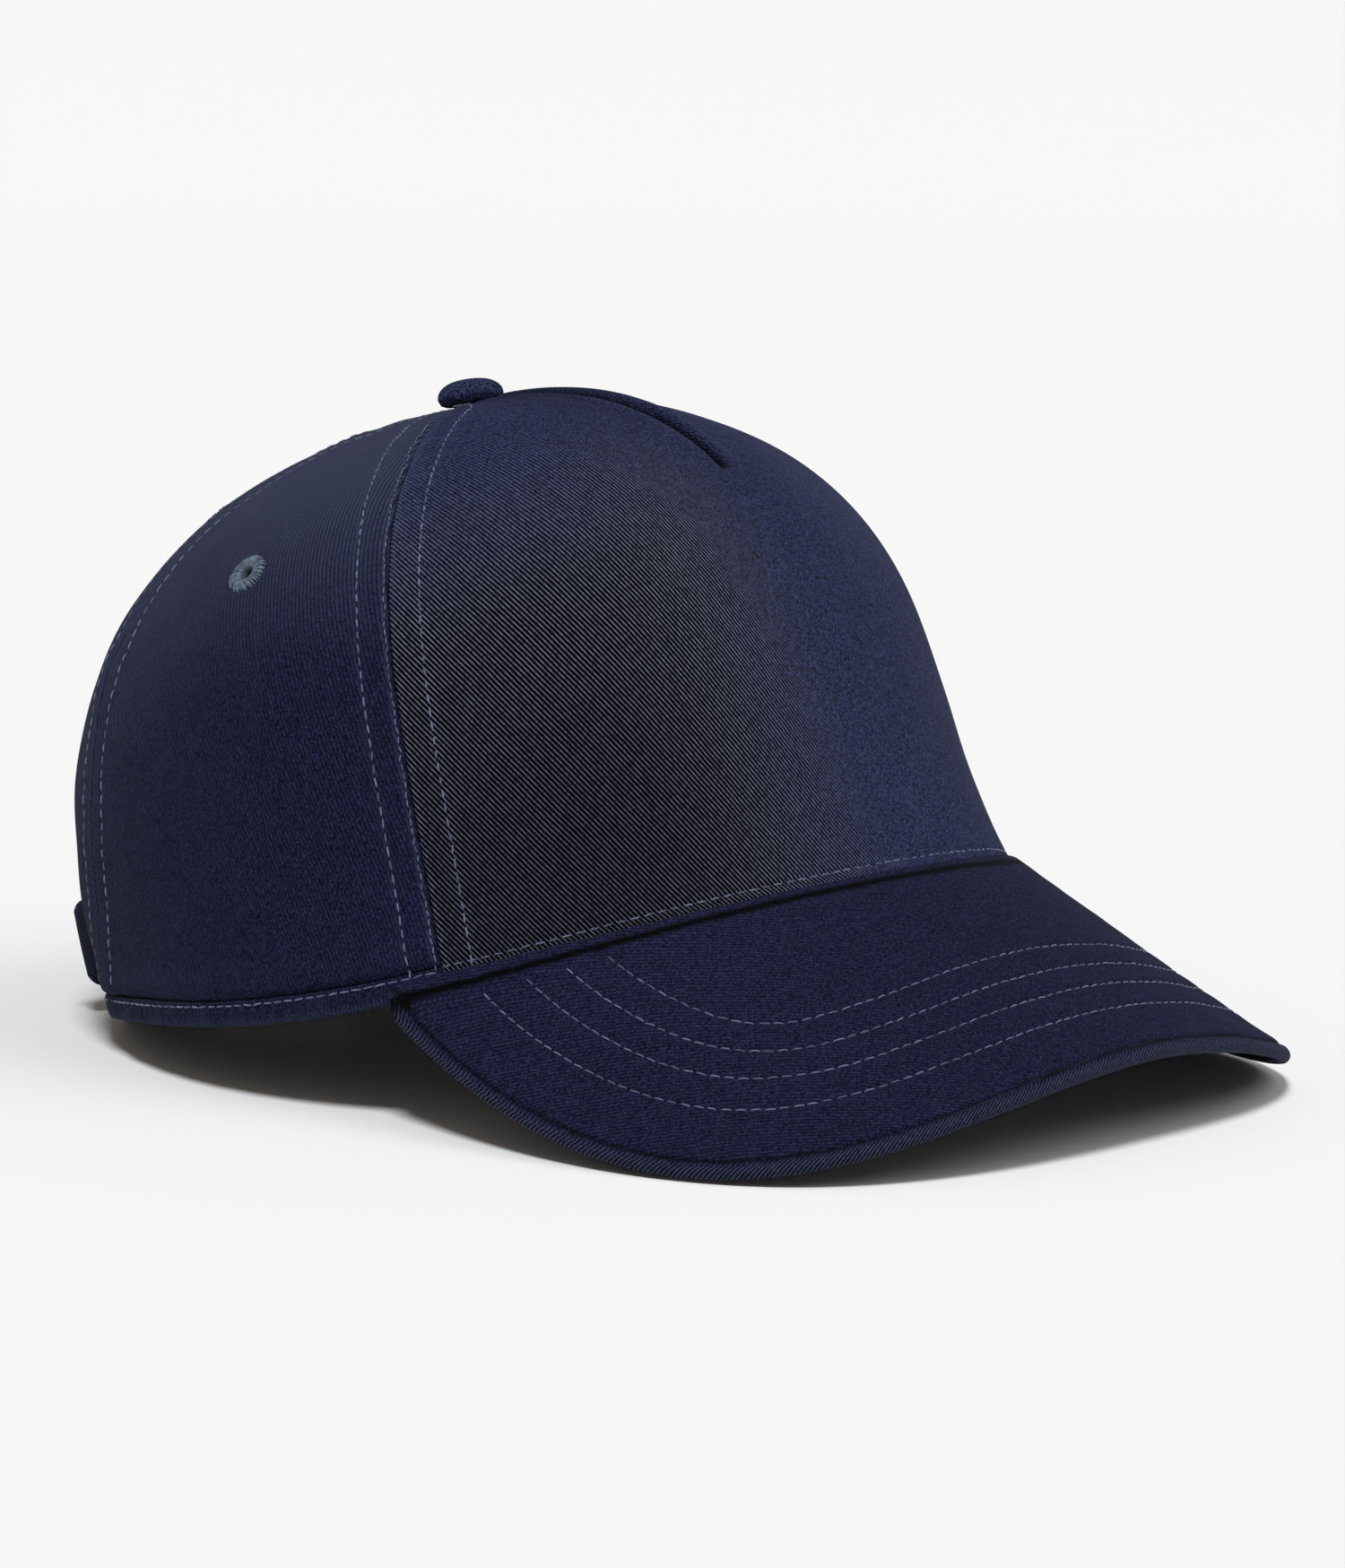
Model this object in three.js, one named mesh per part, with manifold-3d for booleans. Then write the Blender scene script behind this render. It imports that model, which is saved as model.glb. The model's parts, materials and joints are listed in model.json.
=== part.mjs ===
// A five-panel baseball cap with a curved visor and a hook-and-loop back strap.
// Millimetres, +Z up. The wearer faces -Y, so the wearer's right is -X. The cap rests as it does on a
// table: on the two low sides of the visor and on the back of the hem, with its origin on that table.
import * as THREE from 'three';
import { mergeVertices } from 'three/addons/utils/BufferGeometryUtils.js';
import Module from 'manifold-3d';

const wasm = await Module();
wasm.setup();

const rad = THREE.MathUtils.degToRad;

// ---------------------------------------------------------------- driving dimensions
const HALF_WIDTH = 90.9;          // crown at the hem, outside
const HALF_LENGTH = 97;           // crown centre to the front and the back of the hem
const CROWN_HEIGHT = 114.5;       // hem plane to the top button
const APEX_SHIFT = -2.4;          // how far the top sits towards the front
const TILT = rad(15.24);          // crown leans back when the cap stands
const LIFT = 18.12;               // height of the crown's own origin over the table
const CENTRE_Y = 22.7;            // puts the origin under the middle of the outline

const FRONT_SEAM = 62.8;          // degrees from the front, at the hem
const FRONT_SEAM_BOW = 1.1;
const REAR_SEAM = 126.5;
const REAR_SEAM_BOW = -8.8;
const POST_HOLE = 3.2;            // radius that the panels leave open under the button

const CLOTH = 1.0;                // thickness of a crown panel
const GAP = 0.35;                 // between pieces that are sewn face to face
const TAPE = 0.5;
const TAPE_WIDTH = 13;
const STIFFENER = 0.7;
const BAND_HEIGHT = 31;
const BAND_THICKNESS = 1.2;
const BAND_DEPTH = CLOTH + STIFFENER + TAPE + 3 * GAP + 0.45;  // its outer face, below the panels
const HEM_HEIGHT = 5;
const HEM_PROUD = 0.25;

const ARCH_HALF = 27;             // degrees each side of the centre back
const ARCH_HEIGHT = 43;
const ARCH_POWER = 2.8;
const ARCH_TAPE_WIDTH = 9;
const ARCH_TAPE_DEPTH = CLOTH + GAP + 0.2;

const VISOR_SLOPE = rad(40);
const VISOR_RADIUS = 113.2;       // bend of the visor across, at the crown
const VISOR_FLARE = 0.329;        // how much flatter the bend gets each mm forward
const VISOR_BACK_Y = -86.2;
const VISOR_BACK_Z = 9.65;
const VISOR_HALF_ANGLE = rad(59.7);
const VISOR_REACH = 77.6;
const VISOR_SIDE = -101.7;
const VISOR_SIDE_POWER = 3.25;
const VISOR_FRONT_POWER = 1.93;
const VISOR_COVER = 0.5;
const VISOR_BOARD = 1.4;
const VISOR_THICKNESS = 2 * VISOR_COVER + VISOR_BOARD + 2 * GAP;
const VISOR_TOP = 1.3;            // top of the visor over its middle surface

const STRAP_LOW = 6;              // edges of the strap over the hem's lower edge
const STRAP_HIGH = 24;
const STRAP_THICKNESS = 0.9;
const PATCH_THICKNESS = 0.7;
// Places along the straps are degrees from the centre back, positive towards the wearer's left.
const HOOK_ROOT = [31.5, 23.5];   // sewn end of the outer strap, inside the left back panel
const HOOK_FREE = [20.8, -31.5];  // its free length, which ends outside the right back panel
const LOOP_ROOT = [-32, -23.9];   // sewn end of the inner strap, inside the right back panel
const LOOP_FREE = [-21.3, 10];
const PATCH_SPAN = [-17, 9];      // where hooks and loops face each other

const BUTTON_RADIUS = 6.7;
const BUTTON_HEIGHT = 5.4;
const BUTTON_LEAN = rad(3.6);     // the top of the crown slopes a little towards the front
const POST_RADIUS = 1.9;

const TOP_STEPS = 12;             // mesh steps up a panel

// ---------------------------------------------------------------- materials
const cloth = (color) => ({ color, roughness: 0.92, metalness: 0 });
const NAVY = cloth(0x272b4d);
const NAVY_TAPE = cloth(0x20233f);
const THREAD = cloth(0x6d80a8);
const BUCKRAM = cloth(0xd9d6cc);
const LABEL = cloth(0xe8e6e0);
const BOARD = { color: 0xdfe0e2, roughness: 0.55, metalness: 0 };
const METAL = { color: 0xb5b7ba, roughness: 0.35, metalness: 1 };
const HOOK = { color: 0x14151c, roughness: 0.7, metalness: 0 };

// ---------------------------------------------------------------- helpers
const { cos, sin, abs, sign, PI, max } = Math;
const lerp = THREE.MathUtils.lerp;
const smooth = (x, low, high) => THREE.MathUtils.smoothstep(x, low, high);
const vec = (x, y, z) => new THREE.Vector3(x, y, z);

// The value in [low, high] at which a rising function reaches the target.
function solve(rising, target, low, high) {
  for (let i = 0; i < 40; i += 1) {
    const middle = (low + high) / 2;
    if (rising(middle) < target) low = middle;
    else high = middle;
  }
  return (low + high) / 2;
}

// The three-term waves that shape the crown round its hem; turn is the angle from the front.
const wave = (turn, mean, once, twice) => mean + once * cos(turn) + twice * cos(2 * turn);

const hemHeight = (turn) => (
  -2.67 * cos(turn) + 2.3 * cos(2 * turn) + 1.83 * cos(3 * turn) - 0.96 * cos(4 * turn)
);

// How wide (share of the hem) and how high (share of the top) the crown is at rise 0 to 1.
function profile(turn, rise) {
  const shoulder = wave(turn, 1.072, 0.179, -0.211);
  const wall = wave(turn, 0.576, -0.057, 0.109);
  const bulge = wave(turn, -0.022, -0.068, -0.011);
  const r = THREE.MathUtils.clamp(rise, 0, 1);
  const arc = (PI / 2) * (1 - (1 - r ** (1 / wall)) ** (1 / shoulder));
  const across = max(cos(arc), 0) ** shoulder + bulge * 6.75 * r * (1 - r) ** 2;
  return { across, up: sin(arc) ** wall };
}

// A point of the crown's outer surface, in the crown's own upright frame.
function crownPoint(turn, rise) {
  const { across, up } = profile(turn, rise);
  return vec(
    HALF_WIDTH * sin(turn) * across,
    -HALF_LENGTH * cos(turn) * across + APEX_SHIFT * rise,
    hemHeight(turn) * (1 - rise) ** 2 + CROWN_HEIGHT * up,
  );
}

function crownNormal(turn, rise) {
  const step = 1e-3;
  const r = THREE.MathUtils.clamp(rise, 2 * step, 1 - 2 * step);
  const round = crownPoint(turn + step, r).sub(crownPoint(turn - step, r));
  const upward = crownPoint(turn, r + step).sub(crownPoint(turn, r - step));
  return round.cross(upward).normalize();
}

// A fold at the middle of the front panel, where its top is taken in by a dart.
function dartDepth(turn, rise) {
  const distance = abs(turn) * HALF_WIDTH * profile(turn, rise).across;
  return 1.1 * Math.exp(-((distance / 1.6) ** 2)) * smooth(rise, 0.6, 0.72);
}

function skin(turn, rise, offset) {
  const out = offset - dartDepth(turn, rise);
  return crownPoint(turn, rise).addScaledVector(crownNormal(turn, rise), out);
}

const riseAtHeight = (turn, height) => (
  solve((r) => crownPoint(turn, r).z - crownPoint(turn, 0).z, height, 0, 0.95)
);
const riseAtRadius = (turn, radius) => (
  solve((r) => -HALF_WIDTH * profile(turn, r).across, -radius, 0.6, 1)
);

const seamTurn = (side, base, bow, rise) => side * rad(base + bow * 4 * rise * (1 - rise));
const frontSeam = (side, rise) => seamTurn(side, FRONT_SEAM, FRONT_SEAM_BOW, rise);
const rearSeam = (side, rise) => seamTurn(side, REAR_SEAM, REAR_SEAM_BOW, rise);
const centreBack = (side) => side * PI;

// The height of the back opening's edge over the hem; zero outside the opening.
function archHeight(turn, grow = 0) {
  const away = (PI - abs(turn)) / rad(ARCH_HALF + grow / 1.6);
  return away >= 1 ? 0 : (ARCH_HEIGHT + grow) * (1 - away ** ARCH_POWER) ** (1 / ARCH_POWER);
}

const model = new THREE.Group();

function addMesh(name, geometry, look, parent = model) {
  geometry.deleteAttribute('uv');
  geometry.deleteAttribute('normal');
  const merged = mergeVertices(geometry, 1e-4);
  merged.computeVertexNormals();
  const mesh = new THREE.Mesh(merged, new THREE.MeshStandardMaterial(look));
  mesh.name = name;
  parent.add(mesh);
  return mesh;
}

// A bent slab: place(u, v, w) gives the point at u along, v up and w through it, each from 0 to 1,
// with u, v and w right-handed. Both faces split each cell alike; leans(i) picks the diagonal in
// column i, so that layers bend together and the left side mirrors the right.
const mirrored = (columns) => (i) => i < columns / 2;
function slab(alongSteps, upSteps, place, leans = mirrored(alongSteps)) {
  const points = [];
  for (let j = 0; j <= upSteps; j += 1) {
    for (let i = 0; i <= alongSteps; i += 1) {
      for (const w of [0, 1]) points.push(place(i / alongSteps, j / upSteps, w));
    }
  }
  const at = (i, j, w) => (j * (alongSteps + 1) + i) * 2 + w;
  const index = [];
  const face = (a, b, c, d, straight) => {
    index.push(...(straight ? [a, b, c, a, c, d] : [a, b, d, b, c, d]));
  };
  for (let j = 0; j < upSteps; j += 1) {
    for (let i = 0; i < alongSteps; i += 1) {
      const [a, b, c, d] = [at(i, j, 1), at(i + 1, j, 1), at(i + 1, j + 1, 1), at(i, j + 1, 1)];
      face(a, b, c, d, leans(i));
      face(a - 1, d - 1, c - 1, b - 1, leans(i));
    }
  }
  for (let i = 0; i < alongSteps; i += 1) {
    const [low, high] = [at(i, 0, 0), at(i, upSteps, 0)];
    face(low, low + 2, low + 3, low + 1, true);
    face(high, high + 1, high + 3, high + 2, true);
  }
  for (let j = 0; j < upSteps; j += 1) {
    const row = 2 * (alongSteps + 1);
    const [first, last] = [at(0, j, 0), at(alongSteps, j, 0)];
    face(first, first + 1, first + row + 1, first + row, true);
    face(last, last + row, last + row + 1, last + 1, true);
  }
  const geometry = new THREE.BufferGeometry().setFromPoints(points);
  geometry.setIndex(index);
  return geometry;
}

function toManifold(geometry) {
  return new wasm.Manifold(new wasm.Mesh({
    numProp: 3,
    vertProperties: new Float32Array(geometry.attributes.position.array),
    triVerts: new Uint32Array(geometry.index.array),
  }));
}

function fromManifold(solid) {
  const { vertProperties, triVerts } = solid.getMesh();
  const geometry = new THREE.BufferGeometry();
  geometry.setAttribute('position', new THREE.BufferAttribute(new Float32Array(vertProperties), 3));
  geometry.setIndex(new THREE.BufferAttribute(new Uint32Array(triVerts), 1));
  return geometry;
}

// Places a piece made along +Z on the crown, with its own origin on the outer surface.
function standOnCrown(geometry, turn, rise) {
  const facing = new THREE.Quaternion().setFromUnitVectors(vec(0, 0, 1), crownNormal(turn, rise));
  const at = crownPoint(turn, rise);
  return geometry.applyMatrix4(new THREE.Matrix4().compose(at, facing, vec(1, 1, 1)));
}

// ---------------------------------------------------------------- crown panels
const overTable = (p) => -p.y * sin(TILT) + p.z * cos(TILT) + LIFT;

// Keeps the standing cap's hem on the table: what would sink into it is pressed flat.
function aboveTable(p) {
  const below = overTable(p);
  return below < 0 ? p.setZ(p.z - below / cos(TILT)) : p;
}

// The rise of a panel's lower edge: the front one ends on the visor, the others on the hem binding
// or on the back opening.
const onVisor = () => 0;
const onHem = (turn) => riseAtHeight(turn, max(HEM_HEIGHT + GAP, archHeight(turn)));

// A layer of the crown from one seam to the next. edges are functions of rise; depth is how far
// below the outer surface the layer starts.
function crownLayer(steps, edgeA, edgeB, lowest, depth, thickness, leans, spread = (u) => u) {
  return slab(steps, TOP_STEPS, (u, v, w) => {
    const nominal = lerp(edgeA(0), edgeB(0), spread(u));
    const rise = lerp(lowest(nominal), riseAtRadius(nominal, POST_HOLE), v);
    const radius = HALF_WIDTH * profile(nominal, rise).across;
    const inset = (0.5 * GAP) / max(radius, POST_HOLE);
    const turn = lerp(edgeA(rise) + inset, edgeB(rise) - inset, spread(u));
    return skin(turn, rise, -depth - thickness * (1 - w));
  }, leans);
}

const EYELETS = {
  right_side_eyelet: { panel: 'right_side_panel', turn: -88, rise: 0.67 },
  left_side_eyelet: { panel: 'left_side_panel', turn: 88, rise: 0.67 },
  right_back_eyelet: { panel: 'right_back_panel', turn: -155, rise: 0.67 },
  left_back_eyelet: { panel: 'left_back_panel', turn: 155, rise: 0.67 },
};
const EYELET_OUTER = 4.4;
const EYELET_HOLE = 1.4;

function cutEyelet(geometry, panel) {
  const spot = Object.values(EYELETS).find((e) => e.panel === panel);
  const drill = new THREE.CylinderGeometry(EYELET_OUTER + GAP, EYELET_OUTER + GAP, 12, 20);
  drill.rotateX(PI / 2);
  drill.deleteAttribute('uv');
  drill.deleteAttribute('normal');
  const placed = standOnCrown(mergeVertices(drill, 1e-4), rad(spot.turn), spot.rise);
  return fromManifold(toManifold(geometry).subtract(toManifold(placed)));
}

// Columns of the front panel: even, but for a narrow one each side of the dart at its middle.
const FRONT_COLUMNS = 18;
function dartColumns(u) {
  const cells = abs(2 * u - 1) * (FRONT_COLUMNS / 2);
  const narrow = 0.034;
  const share = cells <= 1 ? cells * narrow : narrow + ((cells - 1) / 8) * (1 - narrow);
  return 0.5 + 0.5 * sign(u - 0.5) * share;
}

addMesh('front_panel', crownLayer(
  FRONT_COLUMNS, (r) => frontSeam(-1, r), (r) => frontSeam(1, r),
  onVisor, 0, CLOTH, mirrored(FRONT_COLUMNS), dartColumns,
), NAVY);
addMesh('front_stiffener', crownLayer(
  FRONT_COLUMNS, (r) => 0.97 * frontSeam(-1, r), (r) => 0.97 * frontSeam(1, r),
  onVisor, CLOTH + GAP, STIFFENER, mirrored(FRONT_COLUMNS), dartColumns,
), BUCKRAM);

const SIDES = [['right', -1], ['left', 1]];
for (const [word, side] of SIDES) {
  const edges = side > 0
    ? [(r) => frontSeam(1, r), (r) => rearSeam(1, r), () => centreBack(1)]
    : [() => centreBack(-1), (r) => rearSeam(-1, r), (r) => frontSeam(-1, r)];
  const sideEdges = side > 0 ? edges.slice(0, 2) : edges.slice(1);
  const backEdges = side > 0 ? edges.slice(1) : edges.slice(0, 2);
  for (const [place, [edgeA, edgeB]] of [['side', sideEdges], ['back', backEdges]]) {
    const name = `${word}_${place}_panel`;
    const panel = crownLayer(11, edgeA, edgeB, onHem, 0, CLOTH, () => side < 0);
    addMesh(name, cutEyelet(panel, name), NAVY);
  }
}

// ---------------------------------------------------------------- eyelets
function eyeletRing() {
  const middle = -CLOTH / 2;
  const half = CLOTH / 2 + 0.35;
  const outline = [
    [EYELET_HOLE, middle - 0.7 * half], [EYELET_HOLE + 0.6, middle - half],
    [EYELET_OUTER - 0.8, middle - half], [EYELET_OUTER, middle - 0.4 * half],
    [EYELET_OUTER, middle + 0.4 * half], [EYELET_OUTER - 0.8, middle + half],
    [EYELET_HOLE + 0.6, middle + half], [EYELET_HOLE, middle + 0.7 * half],
    [EYELET_HOLE, middle - 0.7 * half],
  ].map(([r, z]) => new THREE.Vector2(r, z));
  const ring = new THREE.LatheGeometry(outline, 18);
  ring.rotateX(PI / 2);
  return ring;
}

for (const [name, spot] of Object.entries(EYELETS)) {
  addMesh(name, standOnCrown(eyeletRing(), rad(spot.turn), spot.rise), THREAD);
}

// ---------------------------------------------------------------- seam tapes inside the crown
const TAPE_DEPTH = CLOTH + STIFFENER + 2 * GAP + 0.1;

// The tape's mesh steps are the panels' own, so that both bend at the same heights.
function seamTape(centre, firstStep = 0, lastStep = TOP_STEPS - 1) {
  const nominal = centre(0);
  const low = nominal === 0 ? 0 : onHem(nominal);
  const top = riseAtRadius(nominal, POST_HOLE);
  return slab(2, lastStep - firstStep, (u, v, w) => {
    const rise = lerp(low, top, lerp(firstStep, lastStep, v) / TOP_STEPS);
    const radius = HALF_WIDTH * profile(nominal, rise).across;
    const turn = centre(rise) + ((u - 0.5) * TAPE_WIDTH) / max(radius, TAPE_WIDTH);
    return skin(turn, rise, -TAPE_DEPTH - TAPE * (1 - w));
  });
}

for (const [word, side] of SIDES) {
  addMesh(`${word}_front_seam_tape`, seamTape((r) => frontSeam(side, r)), NAVY_TAPE);
  addMesh(`${word}_rear_seam_tape`, seamTape((r) => rearSeam(side, r)), NAVY_TAPE);
}
addMesh('centre_back_seam_tape', seamTape(() => PI, 1), NAVY_TAPE);
addMesh('dart_tape', seamTape(() => 0, 7), NAVY_TAPE);

// A tape that follows the edge of the back opening on the inside.
addMesh('back_opening_tape', slab(28, 1, (u, v, w) => {
  const grow = lerp(0.6, ARCH_TAPE_WIDTH, v);
  const sweep = PI * u;
  const power = 2 / ARCH_POWER;
  const away = rad(ARCH_HALF + grow / 1.6) * sign(cos(sweep)) * abs(cos(sweep)) ** power;
  const height = max((ARCH_HEIGHT + grow) * sin(sweep) ** power, HEM_HEIGHT + GAP);
  const turn = PI - away;
  return skin(turn, riseAtHeight(turn, height), -ARCH_TAPE_DEPTH - TAPE * (1 - w));
}), NAVY_TAPE);

// ---------------------------------------------------------------- sweatband and hem binding
const BAND_END = 180 - ARCH_HALF - 1;

addMesh('sweatband', slab(44, 3, (u, v, w) => {
  const turn = rad(lerp(-BAND_END, BAND_END, u));
  const rise = riseAtHeight(turn, lerp(0.6, BAND_HEIGHT, v));
  return aboveTable(skin(turn, rise, -BAND_DEPTH - BAND_THICKNESS * (1 - w)));
}), NAVY_TAPE);

// Columns of the hem binding: a narrow one at the back, which is pressed flat on the table.
const HEM_COLUMNS = 14;
const FOOT = 2.1;                 // degrees that the flat foot takes
const HEM_BACK = 180 - ARCH_HALF;

function hemTurn(side, column) {
  const fromBack = side > 0 ? HEM_COLUMNS - column : column;
  const length = HEM_BACK - FRONT_SEAM - 0.2 - FOOT;
  const away = fromBack <= 1 ? fromBack * FOOT : FOOT + ((fromBack - 1) / (HEM_COLUMNS - 1)) * length;
  return side * rad(HEM_BACK - away);
}

for (const [word, side] of SIDES) {
  addMesh(`${word}_hem_binding`, slab(HEM_COLUMNS, 1, (u, v, w) => {
    const turn = hemTurn(side, u * HEM_COLUMNS);
    const offset = lerp(-CLOTH - HEM_PROUD, HEM_PROUD, w);
    return aboveTable(skin(turn, riseAtHeight(turn, HEM_HEIGHT * v), offset));
  }), NAVY);
}

// ---------------------------------------------------------------- visor
// A point of the visor's middle surface: bend is the angle across, ahead the distance forward.
function visorPoint(bend, ahead) {
  const radius = VISOR_RADIUS + VISOR_FLARE * ahead;
  const drop = radius * (1 - cos(bend));
  return vec(
    radius * sin(bend),
    VISOR_BACK_Y - ahead * cos(VISOR_SLOPE) + drop * sin(VISOR_SLOPE),
    VISOR_BACK_Z - ahead * sin(VISOR_SLOPE) - drop * cos(VISOR_SLOPE),
  );
}

// The bend and the distance ahead of the visor's point above or below a given point.
function visorPlace(p) {
  let ahead = 0;
  let bend = 0;
  for (let i = 0; i < 12; i += 1) {
    const radius = VISOR_RADIUS + VISOR_FLARE * ahead;
    bend = Math.asin(THREE.MathUtils.clamp(p.x / radius, -1, 1));
    const drop = radius * (1 - cos(bend));
    ahead = (VISOR_BACK_Y - p.y + drop * sin(VISOR_SLOPE)) / cos(VISOR_SLOPE);
  }
  return { bend, ahead };
}

// The visor's rim; sweep runs from -PI/2 to PI/2.
const visorRim = (sweep) => ({
  bend: VISOR_HALF_ANGLE * sign(sin(sweep)) * abs(sin(sweep)) ** (2 / VISOR_SIDE_POWER),
  ahead: lerp(VISOR_SIDE, VISOR_REACH, max(cos(sweep), 0) ** (2 / VISOR_FRONT_POWER)),
});

// The visor's corner is where its rim runs into the crown.
const ROOT_CLEAR = 4 * GAP;
const rootPlace = (turn) => visorPlace(skin(turn, 0, ROOT_CLEAR));
const sweepAt = (ahead) => solve((sweep) => -visorRim(sweep).ahead, -ahead, 0, PI / 2);
const cornerTurn = solve((turn) => {
  const root = rootPlace(turn);
  return root.bend - visorRim(sweepAt(root.ahead)).bend;
}, 0, rad(50), rad(88));
const cornerSweep = sweepAt(rootPlace(cornerTurn).ahead);

function visorNormal(bend, ahead) {
  const step = 1e-3;
  const round = visorPoint(bend + step, ahead).sub(visorPoint(bend - step, ahead));
  const onward = visorPoint(bend, ahead + 1).sub(visorPoint(bend, ahead - 1));
  return onward.cross(round).normalize();
}

// across runs from -1 at the right corner to 1, forward from 0 at the crown to 1 at the rim.
function visorSurface(across, forward, offset) {
  const turn = cornerTurn * across;
  const rootPoint = skin(turn, 0, ROOT_CLEAR);
  const root = visorPlace(rootPoint);
  const rim = visorRim(cornerSweep * across);
  const bend = lerp(root.bend, rim.bend, forward);
  const ahead = lerp(root.ahead, rim.ahead, forward);
  const point = visorPoint(bend, ahead).addScaledVector(visorNormal(bend, ahead), offset);
  point.z += (rootPoint.z - visorPoint(root.bend, root.ahead).z) * (1 - forward) ** 2;
  return point;
}

function visorLayer(name, top, thickness, inset, look) {
  const widest = 1 - inset / 95;
  addMesh(name, slab(26, 7, (u, v, w) => visorSurface(
    THREE.MathUtils.clamp(1 - 2 * u, -widest, widest),
    Math.min(v, 1 - inset / 70),
    top - thickness * (1 - w),
  )), look);
}

visorLayer('visor_top_cover', VISOR_TOP, VISOR_COVER, 0, NAVY);
visorLayer('visor_board', VISOR_TOP - VISOR_COVER - GAP, VISOR_BOARD, 1.6, BOARD);
visorLayer('visor_under_cover', VISOR_TOP - VISOR_THICKNESS + VISOR_COVER, VISOR_COVER, 0, NAVY);

// ---------------------------------------------------------------- top button
const buttonAxis = vec(0, -sin(BUTTON_LEAN), cos(BUTTON_LEAN));
const standOnTop = new THREE.Matrix4().compose(
  crownPoint(0, 1), new THREE.Quaternion().setFromUnitVectors(vec(0, 0, 1), buttonAxis), vec(1, 1, 1),
);

// A turned piece on the button's axis; the outline is [radius, height over the crown's top].
function turned(name, outline, look) {
  const shape = new THREE.LatheGeometry(outline.map(([r, z]) => new THREE.Vector2(r, z)), 24);
  shape.rotateX(PI / 2);
  addMesh(name, shape.applyMatrix4(standOnTop), look);
}

const dome = (radius, low, height) => [0, 0.25, 0.5, 0.75, 1].map((t) => (
  [radius * cos((t * PI) / 2), low + height * sin((t * PI) / 2)]
));
const RIM = GAP + 1.6;
const WALL = 0.7;
turned('button_cover', [
  [BUTTON_RADIUS - WALL, RIM - 1], [BUTTON_RADIUS - 0.3, RIM - 1.2],
  ...dome(BUTTON_RADIUS, RIM, BUTTON_HEIGHT - 1.6),
  ...dome(BUTTON_RADIUS - WALL, RIM, BUTTON_HEIGHT - 1.6 - WALL).reverse(),
  [BUTTON_RADIUS - WALL, RIM - 1],
], NAVY);
const HEAD = BUTTON_RADIUS - WALL - 2 * GAP;
turned('button_rivet', [
  [0, -5], [POST_RADIUS, -5], [POST_RADIUS, 0.6], [HEAD, 0.6], [HEAD, 1.6],
  [HEAD - 1.5, 2.4], [0, 2.8],
], METAL);
turned('button_washer', [
  [POST_RADIUS + GAP, -4.6], [6, -4.6], [6.3, -4.1], [6, -3.6], [POST_RADIUS + GAP, -3.6],
  [POST_RADIUS + GAP, -4.6],
], METAL);

// ---------------------------------------------------------------- back straps
const UNDER_TAPE = ARCH_TAPE_DEPTH + TAPE + GAP;   // depth of a sewn strap end's outer face
// Offset of the outer strap's inner face: inside the left panel, outside the right one.
function hookOffset(back) {
  const inside = -UNDER_TAPE - STRAP_THICKNESS;
  return lerp(GAP, inside, smooth(back, HOOK_FREE[1] + 9, HOOK_FREE[0]));
}
const STACK = 2 * PATCH_THICKNESS + 3 * GAP;
const loopOffset = (back) => Math.min(-UNDER_TAPE, hookOffset(back) - STACK - 0.1);

// A strip along the back at heights low to high over the hem; offset gives its inner face.
function strip(name, steps, span, low, high, offset, thickness, look) {
  addMesh(name, slab(steps, 2, (u, v, w) => {
    const back = lerp(Math.max(...span), Math.min(...span), u);
    const turn = PI - rad(back);
    return skin(turn, riseAtHeight(turn, lerp(low, high, v)), offset(back) + thickness * w);
  }), look);
}

const EDGE = 1.5;                 // patches are narrower than the straps by this on each edge
strip('hook_strap_root', 3, HOOK_ROOT, STRAP_LOW, STRAP_HIGH, hookOffset, STRAP_THICKNESS, NAVY);
strip('hook_strap', 18, HOOK_FREE, STRAP_LOW, STRAP_HIGH, hookOffset, STRAP_THICKNESS, NAVY);
strip('hook_patch', 9, PATCH_SPAN, STRAP_LOW + EDGE, STRAP_HIGH - EDGE,
  (back) => hookOffset(back) - GAP - PATCH_THICKNESS, PATCH_THICKNESS, HOOK);
strip('loop_patch', 9, PATCH_SPAN, STRAP_LOW + EDGE, STRAP_HIGH - EDGE,
  (back) => loopOffset(back) + GAP, PATCH_THICKNESS, HOOK);
strip('loop_strap', 12, LOOP_FREE, STRAP_LOW, STRAP_HIGH,
  (back) => loopOffset(back) - STRAP_THICKNESS, STRAP_THICKNESS, NAVY);
strip('loop_strap_root', 3, LOOP_ROOT, STRAP_LOW, STRAP_HIGH,
  () => -UNDER_TAPE - STRAP_THICKNESS, STRAP_THICKNESS, NAVY);

// ---------------------------------------------------------------- blank labels
strip('maker_label', 5, [13, -13], ARCH_HEIGHT + 14, ARCH_HEIGHT + 34,
  () => -TAPE_DEPTH - TAPE - GAP - 0.4, 0.4, LABEL);
const BAND_INNER = BAND_DEPTH + BAND_THICKNESS;
strip('care_label', 2, [74, 60], 8, 38, () => -BAND_INNER - GAP - 0.3, 0.3, LABEL);

model.rotation.x = -TILT;
model.position.set(0, CENTRE_Y, LIFT);
const cap = new THREE.Group();
cap.add(model);

export default cap;
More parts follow.
